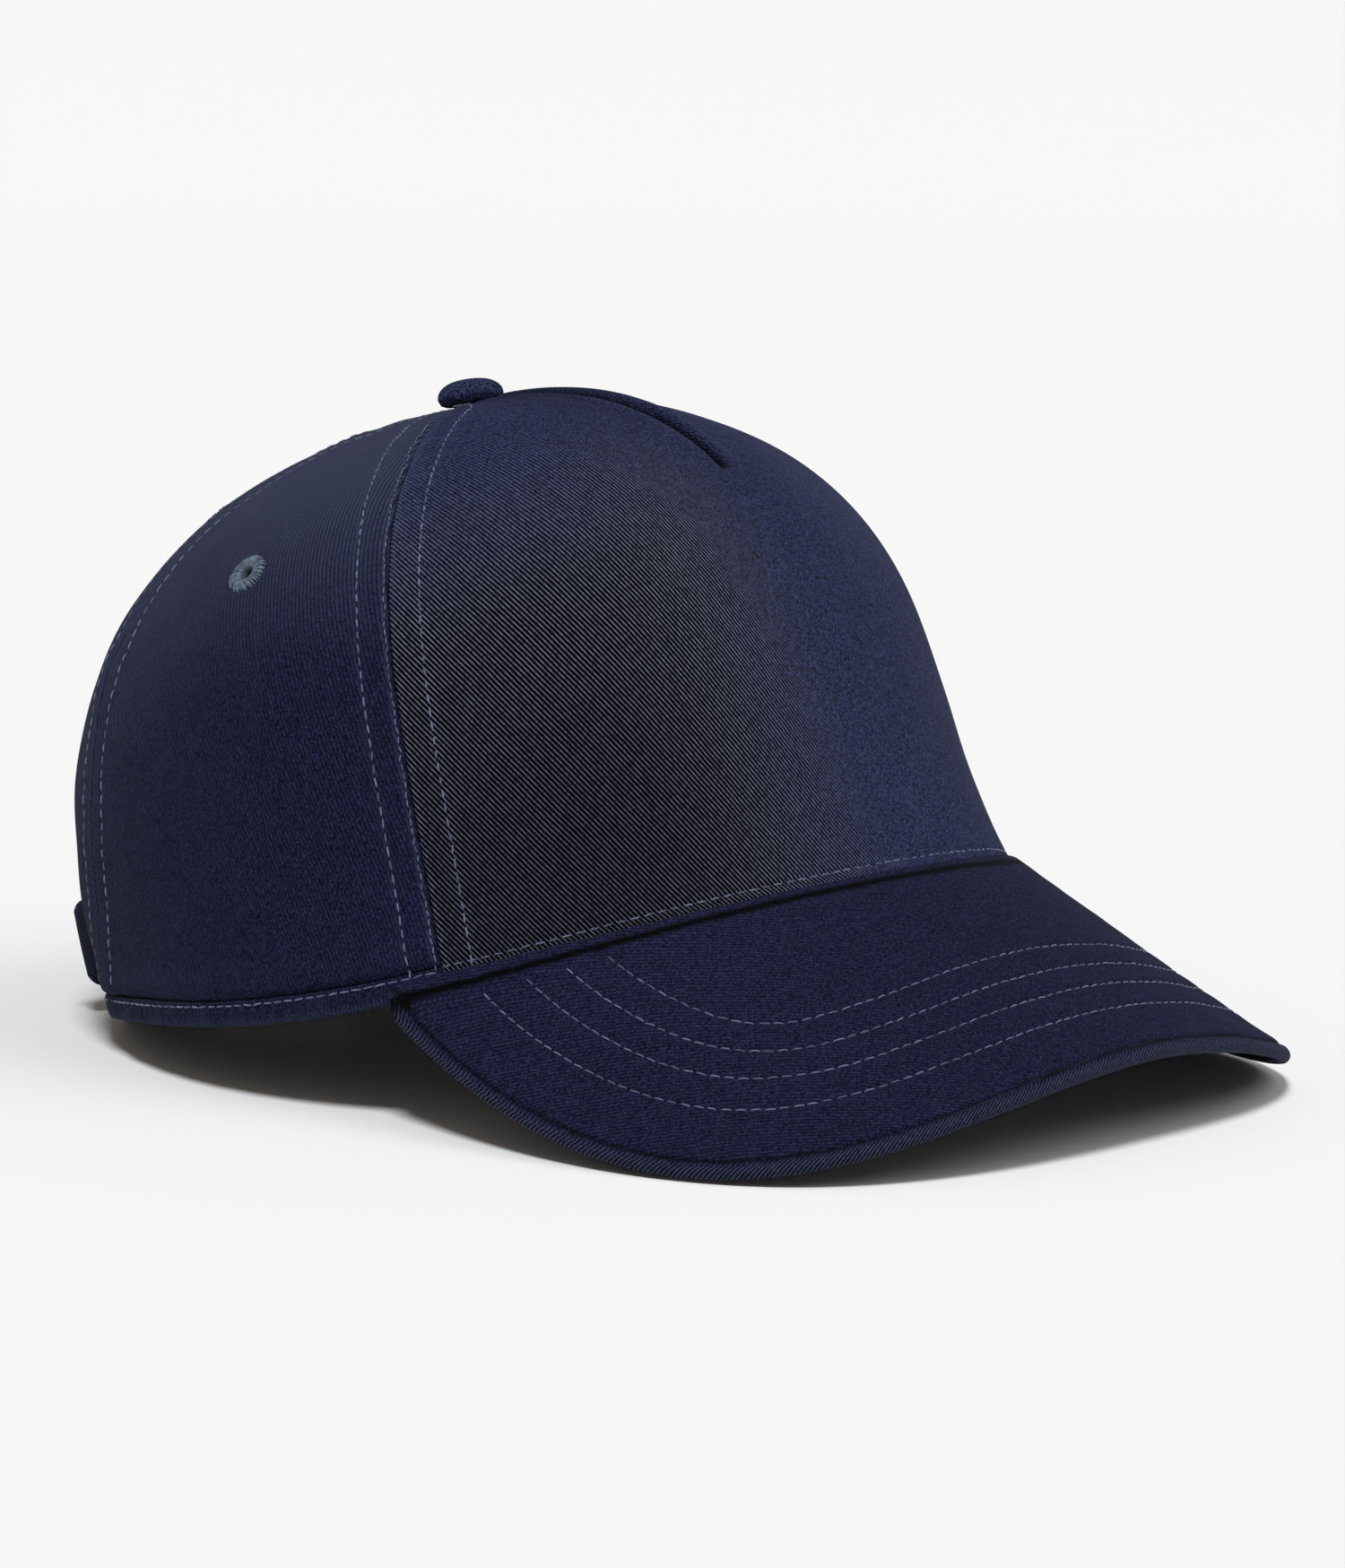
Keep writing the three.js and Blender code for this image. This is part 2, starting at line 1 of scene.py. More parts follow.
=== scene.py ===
# The looks of a five-panel baseball cap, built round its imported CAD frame.
# Shapes are worked out in the crown's own upright frame in millimetres, as the CAD does, and to_row()
# places them in the row frame in metres. The wearer faces -Y, so the wearer's right is -X.
import json
import math
import bpy
import numpy as np
from mathutils import Matrix
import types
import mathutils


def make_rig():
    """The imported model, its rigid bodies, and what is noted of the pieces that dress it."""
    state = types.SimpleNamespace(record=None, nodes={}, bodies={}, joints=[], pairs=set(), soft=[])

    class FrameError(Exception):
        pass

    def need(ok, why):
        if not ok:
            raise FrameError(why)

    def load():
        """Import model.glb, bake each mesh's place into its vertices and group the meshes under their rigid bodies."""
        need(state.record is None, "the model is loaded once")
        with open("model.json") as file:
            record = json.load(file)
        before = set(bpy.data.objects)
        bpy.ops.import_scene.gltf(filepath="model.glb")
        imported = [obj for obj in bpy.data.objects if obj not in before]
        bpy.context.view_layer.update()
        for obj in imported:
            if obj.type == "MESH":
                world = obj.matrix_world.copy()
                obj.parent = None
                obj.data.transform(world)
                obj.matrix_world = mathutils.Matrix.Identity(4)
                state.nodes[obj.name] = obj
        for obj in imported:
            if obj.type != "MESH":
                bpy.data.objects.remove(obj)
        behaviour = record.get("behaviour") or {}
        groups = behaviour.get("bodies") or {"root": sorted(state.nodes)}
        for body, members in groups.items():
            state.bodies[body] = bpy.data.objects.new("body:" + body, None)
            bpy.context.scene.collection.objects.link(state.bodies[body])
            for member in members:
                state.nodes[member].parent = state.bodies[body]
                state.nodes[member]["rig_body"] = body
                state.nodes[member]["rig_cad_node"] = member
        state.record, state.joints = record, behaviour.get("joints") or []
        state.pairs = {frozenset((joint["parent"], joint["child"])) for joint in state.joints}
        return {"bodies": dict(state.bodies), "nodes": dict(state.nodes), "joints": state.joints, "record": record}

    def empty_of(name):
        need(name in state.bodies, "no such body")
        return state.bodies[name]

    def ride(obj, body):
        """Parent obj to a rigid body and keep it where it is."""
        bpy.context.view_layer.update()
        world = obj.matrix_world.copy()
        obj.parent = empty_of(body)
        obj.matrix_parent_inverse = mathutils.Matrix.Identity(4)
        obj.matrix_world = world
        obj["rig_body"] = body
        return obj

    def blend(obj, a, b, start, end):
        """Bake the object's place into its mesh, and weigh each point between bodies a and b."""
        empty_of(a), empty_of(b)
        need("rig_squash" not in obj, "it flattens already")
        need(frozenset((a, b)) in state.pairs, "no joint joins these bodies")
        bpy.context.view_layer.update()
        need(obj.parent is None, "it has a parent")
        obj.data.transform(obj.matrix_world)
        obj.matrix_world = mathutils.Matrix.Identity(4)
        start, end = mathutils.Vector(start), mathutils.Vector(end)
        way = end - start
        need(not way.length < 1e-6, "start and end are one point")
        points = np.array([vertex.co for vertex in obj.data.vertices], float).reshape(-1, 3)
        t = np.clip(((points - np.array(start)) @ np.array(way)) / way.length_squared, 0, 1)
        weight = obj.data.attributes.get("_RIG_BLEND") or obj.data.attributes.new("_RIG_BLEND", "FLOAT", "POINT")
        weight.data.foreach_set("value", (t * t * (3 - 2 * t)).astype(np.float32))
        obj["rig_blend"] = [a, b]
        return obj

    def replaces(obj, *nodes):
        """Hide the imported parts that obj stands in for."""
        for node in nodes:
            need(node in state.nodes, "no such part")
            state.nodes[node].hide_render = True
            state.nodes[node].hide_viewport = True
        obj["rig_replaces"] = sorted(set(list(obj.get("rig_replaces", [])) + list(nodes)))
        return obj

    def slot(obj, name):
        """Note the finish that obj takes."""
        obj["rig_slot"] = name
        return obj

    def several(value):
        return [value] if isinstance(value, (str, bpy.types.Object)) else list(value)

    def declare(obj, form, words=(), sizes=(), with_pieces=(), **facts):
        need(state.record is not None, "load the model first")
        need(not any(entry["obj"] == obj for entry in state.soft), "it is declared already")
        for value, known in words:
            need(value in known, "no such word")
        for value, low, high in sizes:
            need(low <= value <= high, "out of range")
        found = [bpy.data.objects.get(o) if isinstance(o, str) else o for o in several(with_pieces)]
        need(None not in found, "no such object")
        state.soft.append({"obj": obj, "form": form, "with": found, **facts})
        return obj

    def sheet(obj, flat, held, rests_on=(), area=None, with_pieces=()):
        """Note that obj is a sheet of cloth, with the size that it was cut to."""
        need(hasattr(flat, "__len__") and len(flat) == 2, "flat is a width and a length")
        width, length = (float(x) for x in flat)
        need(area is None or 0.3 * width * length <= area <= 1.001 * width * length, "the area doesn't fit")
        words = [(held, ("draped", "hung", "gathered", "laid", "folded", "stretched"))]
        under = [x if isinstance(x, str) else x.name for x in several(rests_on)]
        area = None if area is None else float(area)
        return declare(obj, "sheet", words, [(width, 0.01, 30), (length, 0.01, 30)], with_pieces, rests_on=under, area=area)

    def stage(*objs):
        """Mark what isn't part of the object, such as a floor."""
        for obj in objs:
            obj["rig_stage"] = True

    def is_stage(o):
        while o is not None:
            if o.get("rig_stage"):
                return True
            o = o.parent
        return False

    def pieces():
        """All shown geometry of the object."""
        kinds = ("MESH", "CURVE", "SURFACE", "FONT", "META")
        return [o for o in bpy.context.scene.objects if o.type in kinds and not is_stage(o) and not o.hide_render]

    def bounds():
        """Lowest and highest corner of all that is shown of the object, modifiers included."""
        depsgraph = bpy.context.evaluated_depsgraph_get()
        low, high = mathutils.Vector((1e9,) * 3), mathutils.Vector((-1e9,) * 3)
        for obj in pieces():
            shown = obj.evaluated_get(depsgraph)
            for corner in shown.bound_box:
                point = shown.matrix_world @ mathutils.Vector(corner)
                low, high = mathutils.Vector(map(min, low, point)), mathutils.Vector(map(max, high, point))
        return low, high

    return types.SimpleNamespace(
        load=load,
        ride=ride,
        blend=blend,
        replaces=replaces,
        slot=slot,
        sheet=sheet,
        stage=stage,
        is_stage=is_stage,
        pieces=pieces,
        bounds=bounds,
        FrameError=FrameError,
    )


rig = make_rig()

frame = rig.load()
cad_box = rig.bounds()

# ---------------------------------------------------------------- driving dimensions, as in the CAD
HALF_WIDTH = 90.9
HALF_LENGTH = 97
CROWN_HEIGHT = 114.5
APEX_SHIFT = -2.4
TILT = math.radians(15.24)
LIFT = 18.12
CENTRE_Y = 22.7
FRONT_SEAM, FRONT_SEAM_BOW = 62.8, 1.1
REAR_SEAM, REAR_SEAM_BOW = 126.5, -8.8
POST_HOLE = 3.2
CLOTH = 1.0
GAP = 0.35
TAPE = 0.5
TAPE_WIDTH = 13
STIFFENER = 0.7
BAND_HEIGHT = 31
BAND_THICKNESS = 1.2
BAND_DEPTH = CLOTH + STIFFENER + TAPE + 3 * GAP + 0.45
HEM_HEIGHT = 5
HEM_PROUD = 0.25
ARCH_HALF = 27
ARCH_HEIGHT = 43
ARCH_POWER = 2.8
ARCH_TAPE_WIDTH = 9
ARCH_TAPE_DEPTH = CLOTH + GAP + 0.2
TAPE_DEPTH = CLOTH + STIFFENER + 2 * GAP + 0.1
VISOR_SLOPE = math.radians(40)
VISOR_RADIUS = 113.2
VISOR_FLARE = 0.329
VISOR_BACK_Y, VISOR_BACK_Z = -86.2, 9.65
VISOR_HALF_ANGLE = math.radians(59.7)
VISOR_REACH, VISOR_SIDE = 77.6, -101.7
VISOR_SIDE_POWER, VISOR_FRONT_POWER = 3.25, 1.93
VISOR_THICKNESS = 3.1
VISOR_TOP = 1.3
STRAP_LOW, STRAP_HIGH = 6, 24
STRAP_THICKNESS = 0.9
PATCH_THICKNESS = 0.7
HOOK_STRAP, LOOP_STRAP = (31.5, -31.5), (10, -32)     # degrees from the centre back, + to wearer's left
HOOK_BEND, LOOP_BEND = (23.5, 20.8), (-23.9, -21.3)   # where each strap leaves the crown
PATCH_SPAN = (9, -17)
BUTTON_RADIUS, BUTTON_HEIGHT = 6.7, 5.4
BUTTON_LEAN = math.radians(3.6)
EYELETS = {"right_side": (-88, 0.67), "left_side": (88, 0.67),
           "right_back": (-155, 0.67), "left_back": (155, 0.67)}
EYELET_OUTER, EYELET_HOLE = 4.4, 1.4

# ---------------------------------------------------------------- details that only show
UNDER_RELIEF = 0.3                # how much of the visor's relief shows underneath
COVER = 0.45                      # thickness of the visor's covers
SEAM_ROW = 6.0                    # a stitch row's distance from its seam
VISOR_ROWS = (35.2, 28.3, 21.8, 14.5)   # stitch rows of the visor, inward from its rim
FRONT_ROW = 4.8                   # topstitch over the visor
STITCH, STITCH_GAP = 2.05, 0.62
RIB = 0.76                        # pitch of the twill
DART_START, DART_DEPTH = 0.612, 3.4
PER_TURN, PER_RISE = 80, 120      # rough mm per radian of turn, and from the hem to the top
HEM_PER_TURN = 88
STRAP_PER_DEGREE = 1.62
STRAP_CORNER = 3.5
TAPE_LAST = 11 / 12               # where the seam tapes end, as a share of the way up
FULL_EDGE = 9                     # the visor's edge has its full size where it is as wide as this
EYELET_STITCHES = 58              # in each of an eyelet's two layers
BUTTON_GATHERS = 34

rng = np.random.default_rng(7)


# ---------------------------------------------------------------- small helpers
def lerp(a, b, t):
    return a + (b - a) * t


def smooth(x, low, high):
    t = np.clip((x - low) / (high - low), 0, 1)
    return t * t * (3 - 2 * t)


def bump(x, width):
    """A bell that is 1 at x = 0 and falls off over width."""
    return np.exp(-(x / width) ** 2)


def ripple(x, y, size, seed):
    """Smooth noise from about -1 to 1, with waves of about size."""
    local = np.random.default_rng(seed)
    total = 0
    for _ in range(7):
        angle, phase = local.uniform(0, 2 * math.pi, 2)
        k = 2 * math.pi / (size * local.uniform(0.7, 1.6))
        total = total + np.sin(k * (x * math.cos(angle) + y * math.sin(angle)) + phase)
    return total / 3.2


def solve(rising, target, low, high):
    """Where in [low, high] a rising function reaches the target, for a whole array at once."""
    target = np.asarray(target, float)
    low, high = np.full(target.shape, float(low)), np.full(target.shape, float(high))
    for _ in range(30):
        middle = (low + high) / 2
        under = rising(middle) < target
        low, high = np.where(under, middle, low), np.where(under, high, middle)
    return (low + high) / 2


def unit(v):
    return v / np.maximum(np.linalg.norm(v, axis=-1, keepdims=True), 1e-12)


def run_along(points):
    """How far along a line each of its points lies."""
    return np.concatenate([[0], np.cumsum(np.linalg.norm(np.diff(points, axis=0), axis=1))])


def on_line(at, run, values):
    """What a line's values are at distances along it."""
    return np.stack([np.interp(at, run, values[:, k]) for k in range(values.shape[1])], -1)


def even(points, count):
    """The same line with evenly spaced points."""
    run = run_along(points)
    return on_line(np.linspace(0, run[-1], count), run, points)


def circle(count):
    """Evenly spaced angles of a full turn."""
    return np.arange(count) * 2 * math.pi / count


def to_row(p):
    """Crown frame in millimetres to the row frame in metres."""
    x, y, z = np.moveaxis(np.asarray(p, float), -1, 0)
    c, s = math.cos(TILT), math.sin(TILT)
    return np.stack([x, y * c + z * s + CENTRE_Y, z * c - y * s + LIFT], -1) / 1000


def above_table(p):
    """Presses flat what would sink into the table."""
    c, s = math.cos(TILT), math.sin(TILT)
    below = np.minimum(p[..., 2] * c - p[..., 1] * s + LIFT - 0.02, 0)
    out = p.copy()
    out[..., 2] -= below / c
    return out


# ---------------------------------------------------------------- the crown's surface
def wave(turn, mean, once, twice):
    return mean + once * np.cos(turn) + twice * np.cos(2 * turn)


def hem_height(turn):
    return (-2.67 * np.cos(turn) + 2.3 * np.cos(2 * turn)
            + 1.83 * np.cos(3 * turn) - 0.96 * np.cos(4 * turn))


def profile(turn, rise):
    """How wide (share of the hem) and how high (share of the top) the crown is."""
    shoulder = wave(turn, 1.072, 0.179, -0.211)
    wall = wave(turn, 0.576, -0.057, 0.109)
    bulge = wave(turn, -0.022, -0.068, -0.011)
    r = np.clip(rise, 0, 1)
    arc = (math.pi / 2) * (1 - (1 - r ** (1 / wall)) ** (1 / shoulder))
    across = np.maximum(np.cos(arc), 0) ** shoulder + bulge * 6.75 * r * (1 - r) ** 2
    return across, np.sin(arc) ** wall


def crown_point(turn, rise):
    across, up = profile(turn, rise)
    return np.stack([
        HALF_WIDTH * np.sin(turn) * across,
        -HALF_LENGTH * np.cos(turn) * across + APEX_SHIFT * rise,
        hem_height(turn) * (1 - rise) ** 2 + CROWN_HEIGHT * up,
    ], -1)


def crown_normal(turn, rise):
    step = 1e-3
    r = np.clip(rise, 2 * step, 1 - 2 * step)
    around = crown_point(turn + step, r) - crown_point(turn - step, r)
    upward = crown_point(turn, r + step) - crown_point(turn, r - step)
    return unit(np.cross(around, upward))


def radius_at(turn, rise):
    return HALF_WIDTH * profile(turn, rise)[0]


def height_at(turn, rise):
    """Height over the hem."""
    return crown_point(turn, rise)[..., 2] - crown_point(turn, 0 * rise)[..., 2]


def rise_at_height(turn, height):
    turn, height = np.broadcast_arrays(np.asarray(turn, float), height)
    return solve(lambda r: height_at(turn, r), height, 0, 0.95)


def rise_at_radius(turn, radius):
    turn = np.asarray(turn, float)
    return solve(lambda r: -radius_at(turn, r), np.full(turn.shape, -radius), 0.6, 1)


def seam(base, bow):
    return lambda rise: np.radians(base + np.sign(base) * bow * 4 * rise * (1 - rise))


SEAMS = {
    "right_front": seam(-FRONT_SEAM, FRONT_SEAM_BOW), "left_front": seam(FRONT_SEAM, FRONT_SEAM_BOW),
    "right_rear": seam(-REAR_SEAM, REAR_SEAM_BOW), "left_rear": seam(REAR_SEAM, REAR_SEAM_BOW),
    "right_back": seam(-180, 0), "left_back": seam(180, 0),
}


def arch_height(turn, grow=0.0):
    """Height of the back opening's edge over the hem; zero outside the opening."""
    away = np.minimum(np.abs(math.pi - np.abs(turn)) / math.radians(ARCH_HALF + grow / 1.6), 1)
    return (ARCH_HEIGHT + grow) * (1 - away ** ARCH_POWER) ** (1 / ARCH_POWER)


def arch_distance(turn, height, radius):
    """Distance outward from the edge of the back opening."""
    a, b = np.abs(math.pi - np.abs(turn)) * radius, np.maximum(height, 0)
    share = ((a / (math.radians(ARCH_HALF) * radius)) ** ARCH_POWER
             + (b / ARCH_HEIGHT) ** ARCH_POWER) ** (1 / ARCH_POWER)
    return np.hypot(a, b) * (1 - 1 / np.maximum(share, 1e-6))


def row_offset(radius):
    """How far a stitch row runs from its seam: the rows draw together towards the button."""
    return SEAM_ROW * smooth(radius, 1, 26)


def dart(turn, rise, depth=0.0):
    """The dart at the top of the front panel: a deep fold between two raised lips."""
    across = turn * radius_at(turn, rise)
    taken = smooth(rise, DART_START, 0.665)
    fold = DART_DEPTH * np.exp(-(across / (1.0 + 0.4 * depth)) ** 2)
    lips = 0.6 * bump(across + 2.7, 1.4) + (0.7 + 0.9 * smooth(rise, 0.63, 0.76)) * bump(across - 2.9, 1.9)
    return taken * (lips - fold)


def relief(turn, rise):
    """How far the cloth's outer face stands out from the smooth crown, in millimetres."""
    turn = np.mod(turn + math.pi, 2 * math.pi) - math.pi
    radius = radius_at(turn, rise)
    height = height_at(turn, rise)
    s, t = turn * PER_TURN, rise * PER_RISE
    out = dart(turn, rise)
    front = smooth(-np.abs(turn), -math.radians(FRONT_SEAM) - 0.02, -math.radians(FRONT_SEAM) + 0.02)
    out = out + (0.10 + 0.22 * (1 - front)) * ripple(s, t, 34, 3) * smooth(1 - rise, 0.03, 0.25)
    out = out + (0.05 + 0.05 * (1 - front)) * ripple(s, t, 11, 4)
    row = row_offset(radius)
    allowance = 0 * out
    for i, (name, line) in enumerate(SEAMS.items()):
        d = (turn - line(rise)) * radius
        far = np.abs(d)
        allowance = np.maximum(allowance, 0.34 * (1 - smooth(far, row - 0.2, row + 1.7)))
        pucker = 0.10 * ripple(t * 1.3, far * 0.25, 7, 20 + i) * (1 - smooth(far, 6, 13))
        channel = 0.20 * bump(far - row, 0.55)
        fold = 0.85 * bump(far, 0.6)
        out = out + pucker - channel - fold
        if "front" in name:     # the front panel laps a little proud of the side panel
            inward = -d * np.sign(line(0.0))
            out = out + 0.22 * smooth(inward, -0.1, 0.5) * bump(far, 2.2) - 0.1 * bump(inward + 1.6, 1.2)
    out = out + allowance
    hem = (1 - front) * smooth(arch_distance(turn, height, radius), 0, 3)
    above = height - HEM_HEIGHT - GAP
    out = out + hem * (0.35 * bump(above - 2.6, 2.4) - 0.55 * bump(above, 0.6))
    out = out + hem * 0.14 * ripple(s * 1.1, 0 * s, 8, 31) * bump(above, 6)
    puff = 0.40 * bump(height - 2.2, 1.9) - 0.26 * bump(height - FRONT_ROW, 0.7)
    lower = 0.12 * ripple(s, 0 * s, 6, 32) * bump(height - 3, 4)
    out = out + front * (puff + lower - 0.5 * bump(height, 0.5))
    arch = arch_distance(turn, height, radius)
    edge = 0.22 * bump(arch - 1.4, 1.0) - 0.22 * bump(arch - 2.4, 0.5) - 0.7 * bump(arch, 0.45)
    out = out + np.where(np.abs(turn) > math.radians(140), edge - 0.16 * bump(arch - 7.6, 0.5), 0)
    return out


def off_crown(turn, rise, out):
    """A point out mm from the smooth crown."""
    return crown_point(turn, rise) + crown_normal(turn, rise) * np.asarray(out)[..., None]


def under(turn, rise, offset):
    """A point of a layer inside the crown, at a smooth offset from its outer surface."""
    return off_crown(turn, rise, offset + dart(turn, rise, -offset))


def outer(turn, rise, offset=0.0):
    """A point of the crown's outer cloth face, or offset from it."""
    return off_crown(turn, rise, offset + relief(turn, rise))


# ---------------------------------------------------------------- the visor's surface
def visor_point(bend, ahead):
    radius = VISOR_RADIUS + VISOR_FLARE * ahead
    drop = radius * (1 - np.cos(bend))
    return np.stack([
        radius * np.sin(bend),
        VISOR_BACK_Y - ahead * math.cos(VISOR_SLOPE) + drop * math.sin(VISOR_SLOPE),
        VISOR_BACK_Z - ahead * math.sin(VISOR_SLOPE) - drop * math.cos(VISOR_SLOPE),
    ], -1)


def visor_normal(bend, ahead):
    step = 1e-3
    around = visor_point(bend + step, ahead) - visor_point(bend - step, ahead)
    onward = visor_point(bend, ahead + 1) - visor_point(bend, ahead - 1)
    return unit(np.cross(onward, around))


def visor_place(p):
    """The bend and the distance ahead of the visor's point over or under a given point."""
    ahead = np.zeros(p.shape[:-1])
    for _ in range(14):
        radius = VISOR_RADIUS + VISOR_FLARE * ahead
        bend = np.arcsin(np.clip(p[..., 0] / radius, -1, 1))
        drop = radius * (1 - np.cos(bend))
        ahead = (VISOR_BACK_Y - p[..., 1] + drop * math.sin(VISOR_SLOPE)) / math.cos(VISOR_SLOPE)
    return bend, ahead


def visor_rim(sweep):
    """The rim's bend and distance ahead; sweep runs from -pi/2 to pi/2."""
    turned = np.abs(np.sin(sweep)) ** (2 / VISOR_SIDE_POWER)
    forward = np.maximum(np.cos(sweep), 0) ** (2 / VISOR_FRONT_POWER)
    return VISOR_HALF_ANGLE * np.sign(sweep) * turned, lerp(VISOR_SIDE, VISOR_REACH, forward)


ROOT_CLEAR = 4 * GAP


def root_place(turn):
    return visor_place(off_crown(turn, 0 * turn, ROOT_CLEAR))


def rim_sweep_at(ahead):
    return solve(lambda sweep: -visor_rim(sweep)[1], -np.asarray(ahead), 0, math.pi / 2)


def corner_gap(turn):
    bend, ahead = root_place(turn)
    return bend - visor_rim(rim_sweep_at(ahead))[0]


CORNER_TURN = float(solve(corner_gap, np.zeros(()), math.radians(50), math.radians(88)))
CORNER_SWEEP = float(rim_sweep_at(root_place(np.array(CORNER_TURN))[1]))


def flat(bend, ahead):
    """A point of the visor rolled out flat."""
    return np.stack([(VISOR_RADIUS + VISOR_FLARE * ahead) * bend, ahead], -1)


def unroll(p):
    """The bend and the distance ahead of a point of the flat visor."""
    return p[..., 0] / (VISOR_RADIUS + VISOR_FLARE * p[..., 1]), p[..., 1]


def root_mismatch(bend):
    """How far the visor is lifted at its root to meet the crown."""
    turn = np.linspace(-CORNER_TURN, CORNER_TURN, 161)
    at, ahead = root_place(turn)
    lift = off_crown(turn, 0 * turn, ROOT_CLEAR)[:, 2] - visor_point(at, ahead)[:, 2]
    return np.interp(bend, at, lift), np.interp(bend, at, ahead)


RIM_LINE = even(flat(*visor_rim(np.linspace(-CORNER_SWEEP, CORNER_SWEEP, 4001))), 1201)


def inside_rim(p):
    """Distance of flat points from the visor's rim."""
    from_rim = np.full(p.shape[:-1], 1e9)
    for a in np.array_split(RIM_LINE, 60):
        gap = np.linalg.norm(p[..., None, :] - a, axis=-1).min(-1)
        from_rim = np.minimum(from_rim, gap)
    return from_rim


def visor_relief(p, from_rim):
    """How far the visor's top cloth stands out at flat points, in millimetres."""
    x, y = p[..., 0], p[..., 1]
    out = 0.10 * ripple(x, y, 26, 41) + 0.035 * ripple(x, y, 7, 42)
    for i, row in enumerate(VISOR_ROWS):
        out = out - 0.26 * bump(from_rim - row, 0.62)
        out = out + 0.05 * ripple(x, y, 5, 50 + i) * bump(from_rim - row, 2.2)
    between = 0.5 + 0.5 * np.cos(2 * math.pi * (from_rim - VISOR_ROWS[3]) / 6.9)
    rows = smooth(from_rim, 12, 14) * (1 - smooth(from_rim, 35, 38))
    edge = 0.14 * bump(from_rim - 4.6, 1.8) - 0.34 * bump(from_rim - 2.6, 0.7)
    return out + 0.10 * (1 - between) * rows + edge


def visor_at(p, offset, face):
    """A point of the visor from a flat point; offset is from its middle surface, and face is 1
    for the top and -1 for the underside."""
    bend, ahead = unroll(p)
    lift, root = root_mismatch(bend)
    from_rim = inside_rim(p)
    reach = np.maximum(ahead - root, 0)
    share = np.clip(1 - reach / np.maximum(reach + from_rim, 1e-6), 0, 1)
    out = offset + visor_relief(p, from_rim) * (1 if face > 0 else UNDER_RELIEF)
    point = visor_point(bend, ahead) + visor_normal(bend, ahead) * np.asarray(out)[..., None]
    point[..., 2] += lift * share ** 2
    return point


# ---------------------------------------------------------------- mesh making
def new_object(name, data):
    obj = bpy.data.objects.new(name, data)
    bpy.context.scene.collection.objects.link(obj)
    return obj


def add_mesh(name, points, faces, material, weave=None, body="crown", wear_and_painted_light=None, rib_highlights=None):
    """A piece from points in the crown frame. weave holds where each point lies in the cloth, in ribs
    across and along; wear_and_painted_light how much wear it shows, also paler for painted highlights,
    and under 0 how dark its painted shade is in a crease or join; rib_highlights how strongly the
    painted highlights on its rib crests show."""
    mesh = bpy.data.meshes.new(name)
    mesh.from_pydata(to_row(points).reshape(-1, 3), [], faces)
    mesh.polygons.foreach_set("use_smooth", np.ones(len(mesh.polygons), bool))
    count = len(mesh.vertices)
    if weave is not None:
        data = np.zeros((count, 3), np.float32)
        data[:, :2] = np.asarray(weave).reshape(-1, 2)
        mesh.attributes.new("weave", "FLOAT_VECTOR", "POINT").data.foreach_set("vector", data.ravel())
    for word, values in (("wear_and_painted_light", wear_and_painted_light), ("rib_highlights", rib_highlights)):
        values = np.zeros(count) if values is None else np.asarray(values).ravel()
        mesh.attributes.new(word, "FLOAT", "POINT").data.foreach_set("value", values.astype(np.float32))
    mesh.validate()
    obj = new_object(name, mesh)
    mesh.materials.append(material)
    if body:
        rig.ride(obj, body)
    return obj


def slab_faces(rows, columns, keep=None):
    """Faces of a closed slab: rows x columns points on the outer face, then as many on the inner."""
    index = np.arange(rows * columns).reshape(rows, columns)
    a, b, c, d = index[:-1, :-1], index[:-1, 1:], index[1:, 1:], index[1:, :-1]
    keep = np.ones(a.shape, bool) if keep is None else keep
    n = rows * columns
    out = [np.stack([a, b, c, d], -1)[keep], np.stack([a, d, c, b], -1)[keep] + n]
    padded = np.pad(keep, 1)
    sides = {(-1, 0): (a, b), (1, 0): (c, d), (0, 1): (b, c), (0, -1): (d, a)}
    for (down, along), (p, q) in sides.items():
        open_side = keep & ~padded[1 + down:1 + down + a.shape[0], 1 + along:1 + along + a.shape[1]]
        out.append(np.stack([q, p, p + n, q + n], -1)[open_side])
    return np.concatenate(out)


def slab(name, front, back, material, weave, keep=None, wear_and_painted_light=0.0, rib_highlights=0.0, body="crown"):
    """A closed sheet of cloth between two grids of points of the same shape."""
    rows, columns = front.shape[:2]
    faces = slab_faces(rows, columns, keep)
    points = np.concatenate([front.reshape(-1, 3), back.reshape(-1, 3)])
    weave = np.concatenate([weave.reshape(-1, 2)] * 2)
    wear_and_painted_light, rib_highlights = (np.tile(np.broadcast_to(a, (rows, columns)).ravel(), 2) for a in (wear_and_painted_light, rib_highlights))
    if keep is not None:        # leave out points that no face uses
        used = np.unique(faces)
        renumber = np.full(len(points), -1)
        renumber[used] = np.arange(len(used))
        faces = renumber[faces]
        points, weave, wear_and_painted_light, rib_highlights = points[used], weave[used], wear_and_painted_light[used], rib_highlights[used]
    return add_mesh(name, points, faces, material, weave, body, wear_and_painted_light, rib_highlights)


def loop_faces(rings, sides, closed=False):
    """Faces of a tube of rings x sides points; a closed one joins its last ring to its first."""
    index = np.arange(rings * sides).reshape(rings, sides)
    after = np.roll(index, -1, 0) if closed else index[1:]
    here = index if closed else index[:-1]
    quads = np.stack([here, np.roll(here, -1, 1), np.roll(after, -1, 1), after], -1)
    return quads.reshape(-1, 4)


def copies(faces, count, points_each):
    """The same faces for each of count pieces that follow one another in a list of points."""
    return (faces[None] + (np.arange(count) * points_each)[:, None, None]).reshape(-1, 4)


